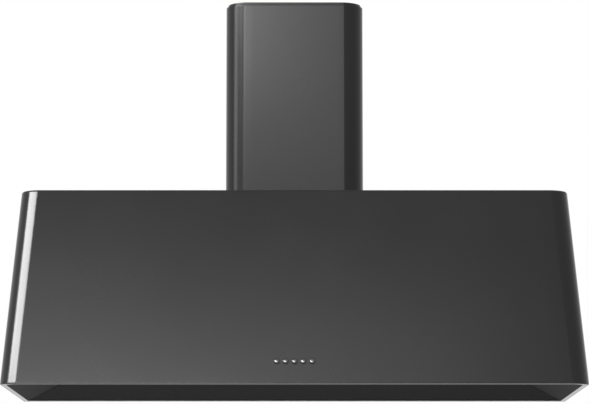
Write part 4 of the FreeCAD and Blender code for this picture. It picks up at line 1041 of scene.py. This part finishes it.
def stageFloor():
    f = Finish("stageFloor")
    reach = f.add("VectorMath", {"operation": "LENGTH"}, {0: f.place}, out="Value")
    fade = f.add("MapRange", {}, {
        "Value": reach,
        "From Min": studio["fadeStart"],
        "From Max": studio["floorRadius"],
        "To Min": 1.0,
        "To Max": 0.0,
    })
    above = 1 - f.add("NewGeometry", out="Backfacing")
    mottle = f.noise(3.0, 3.0)
    shader = f.add("BsdfPrincipled", {}, {
        "Base Color": f.mixed(mottle, grey(0.80), grey(0.84)),
        "Roughness": 0.7,
        "Alpha": fade * above,
    })
    f.add("OutputMaterial", {}, {"Surface": shader})
    mesh = bpy.data.meshes.new("stageFloor")
    work = bmesh.new()
    bmesh.ops.create_circle(work, cap_ends=True, radius=studio["floorRadius"], segments=96)
    work.to_mesh(mesh)
    work.free()
    mesh.materials.append(f.material)
    floor = bpy.data.objects.new("stageFloor", mesh)
    floor.location.z = studio["floorLevel"]
    bpy.context.scene.collection.objects.link(floor)


def softbox(name, azimuth, elevation, distance, width, height, radiance):
    a, e = math.radians(azimuth), math.radians(elevation)
    out = Vector((math.sin(a) * math.cos(e), -math.cos(a) * math.cos(e), math.sin(e)))
    lamp = bpy.data.lights.new(name, "AREA")
    lamp.shape = "RECTANGLE"
    lamp.size, lamp.size_y = width, height
    lamp.energy = radiance * math.pi * width * height
    box = bpy.data.objects.new(name, lamp)
    box.location = Vector(studio["aim"]) + out * distance
    box.rotation_mode = "QUATERNION"
    box.rotation_quaternion = (-out).to_track_quat("-Z", "Y")
    box.visible_camera = False
    bpy.context.scene.collection.objects.link(box)


def plainWorld():
    world = bpy.data.worlds.new("plainWorld")
    world.use_nodes = True
    nodes, links = world.node_tree.nodes, world.node_tree.links
    nodes.clear()
    rays = nodes.new("ShaderNodeLightPath")
    seen = nodes.new("ShaderNodeMath")
    seen.operation = "MAXIMUM"
    either = nodes.new("ShaderNodeMath")
    either.operation = "MAXIMUM"
    level = nodes.new("ShaderNodeMapRange")
    level.inputs["To Min"].default_value = studio["skyLight"]
    back = nodes.new("ShaderNodeBackground")
    back.inputs["Color"].default_value = (1, 1, 1, 1)
    out = nodes.new("ShaderNodeOutputWorld")
    wires = [
        (rays.outputs["Is Camera Ray"], seen.inputs[0]),
        (rays.outputs["Is Glossy Ray"], seen.inputs[1]),
        (seen.outputs[0], either.inputs[0]),
        (rays.outputs["Is Transmission Ray"], either.inputs[1]),
        (either.outputs[0], level.inputs["Value"]),
        (level.outputs[0], back.inputs["Strength"]),
        (back.outputs[0], out.inputs["Surface"]),
    ]
    for source, target in wires:
        links.new(source, target)
    bpy.context.scene.world = world


stageFloor()
plainWorld()
for name, setting in softboxes.items():
    softbox(name, *setting)


# camera below the rim, looking up at the hood as the photograph does
photoView = {"place": (0, -5.713, -0.382), "pitch": 7.885, "lens": 172.0, "sensor": 36, "reach": 50}


def addCamera():
    lens = bpy.data.cameras.new("photoView")
    lens.sensor_width = photoView["sensor"]
    lens.sensor_fit = "HORIZONTAL"
    lens.lens = photoView["lens"]
    lens.clip_end = photoView["reach"]
    camera = bpy.data.objects.new("photoView", lens)
    camera.location = photoView["place"]
    camera.rotation_euler = (math.radians(90 + photoView["pitch"]), 0, 0)
    bpy.context.scene.collection.objects.link(camera)
    bpy.context.scene.camera = camera


addCamera()
view = bpy.context.scene.view_settings
view.view_transform = "Standard"
print("studio set")
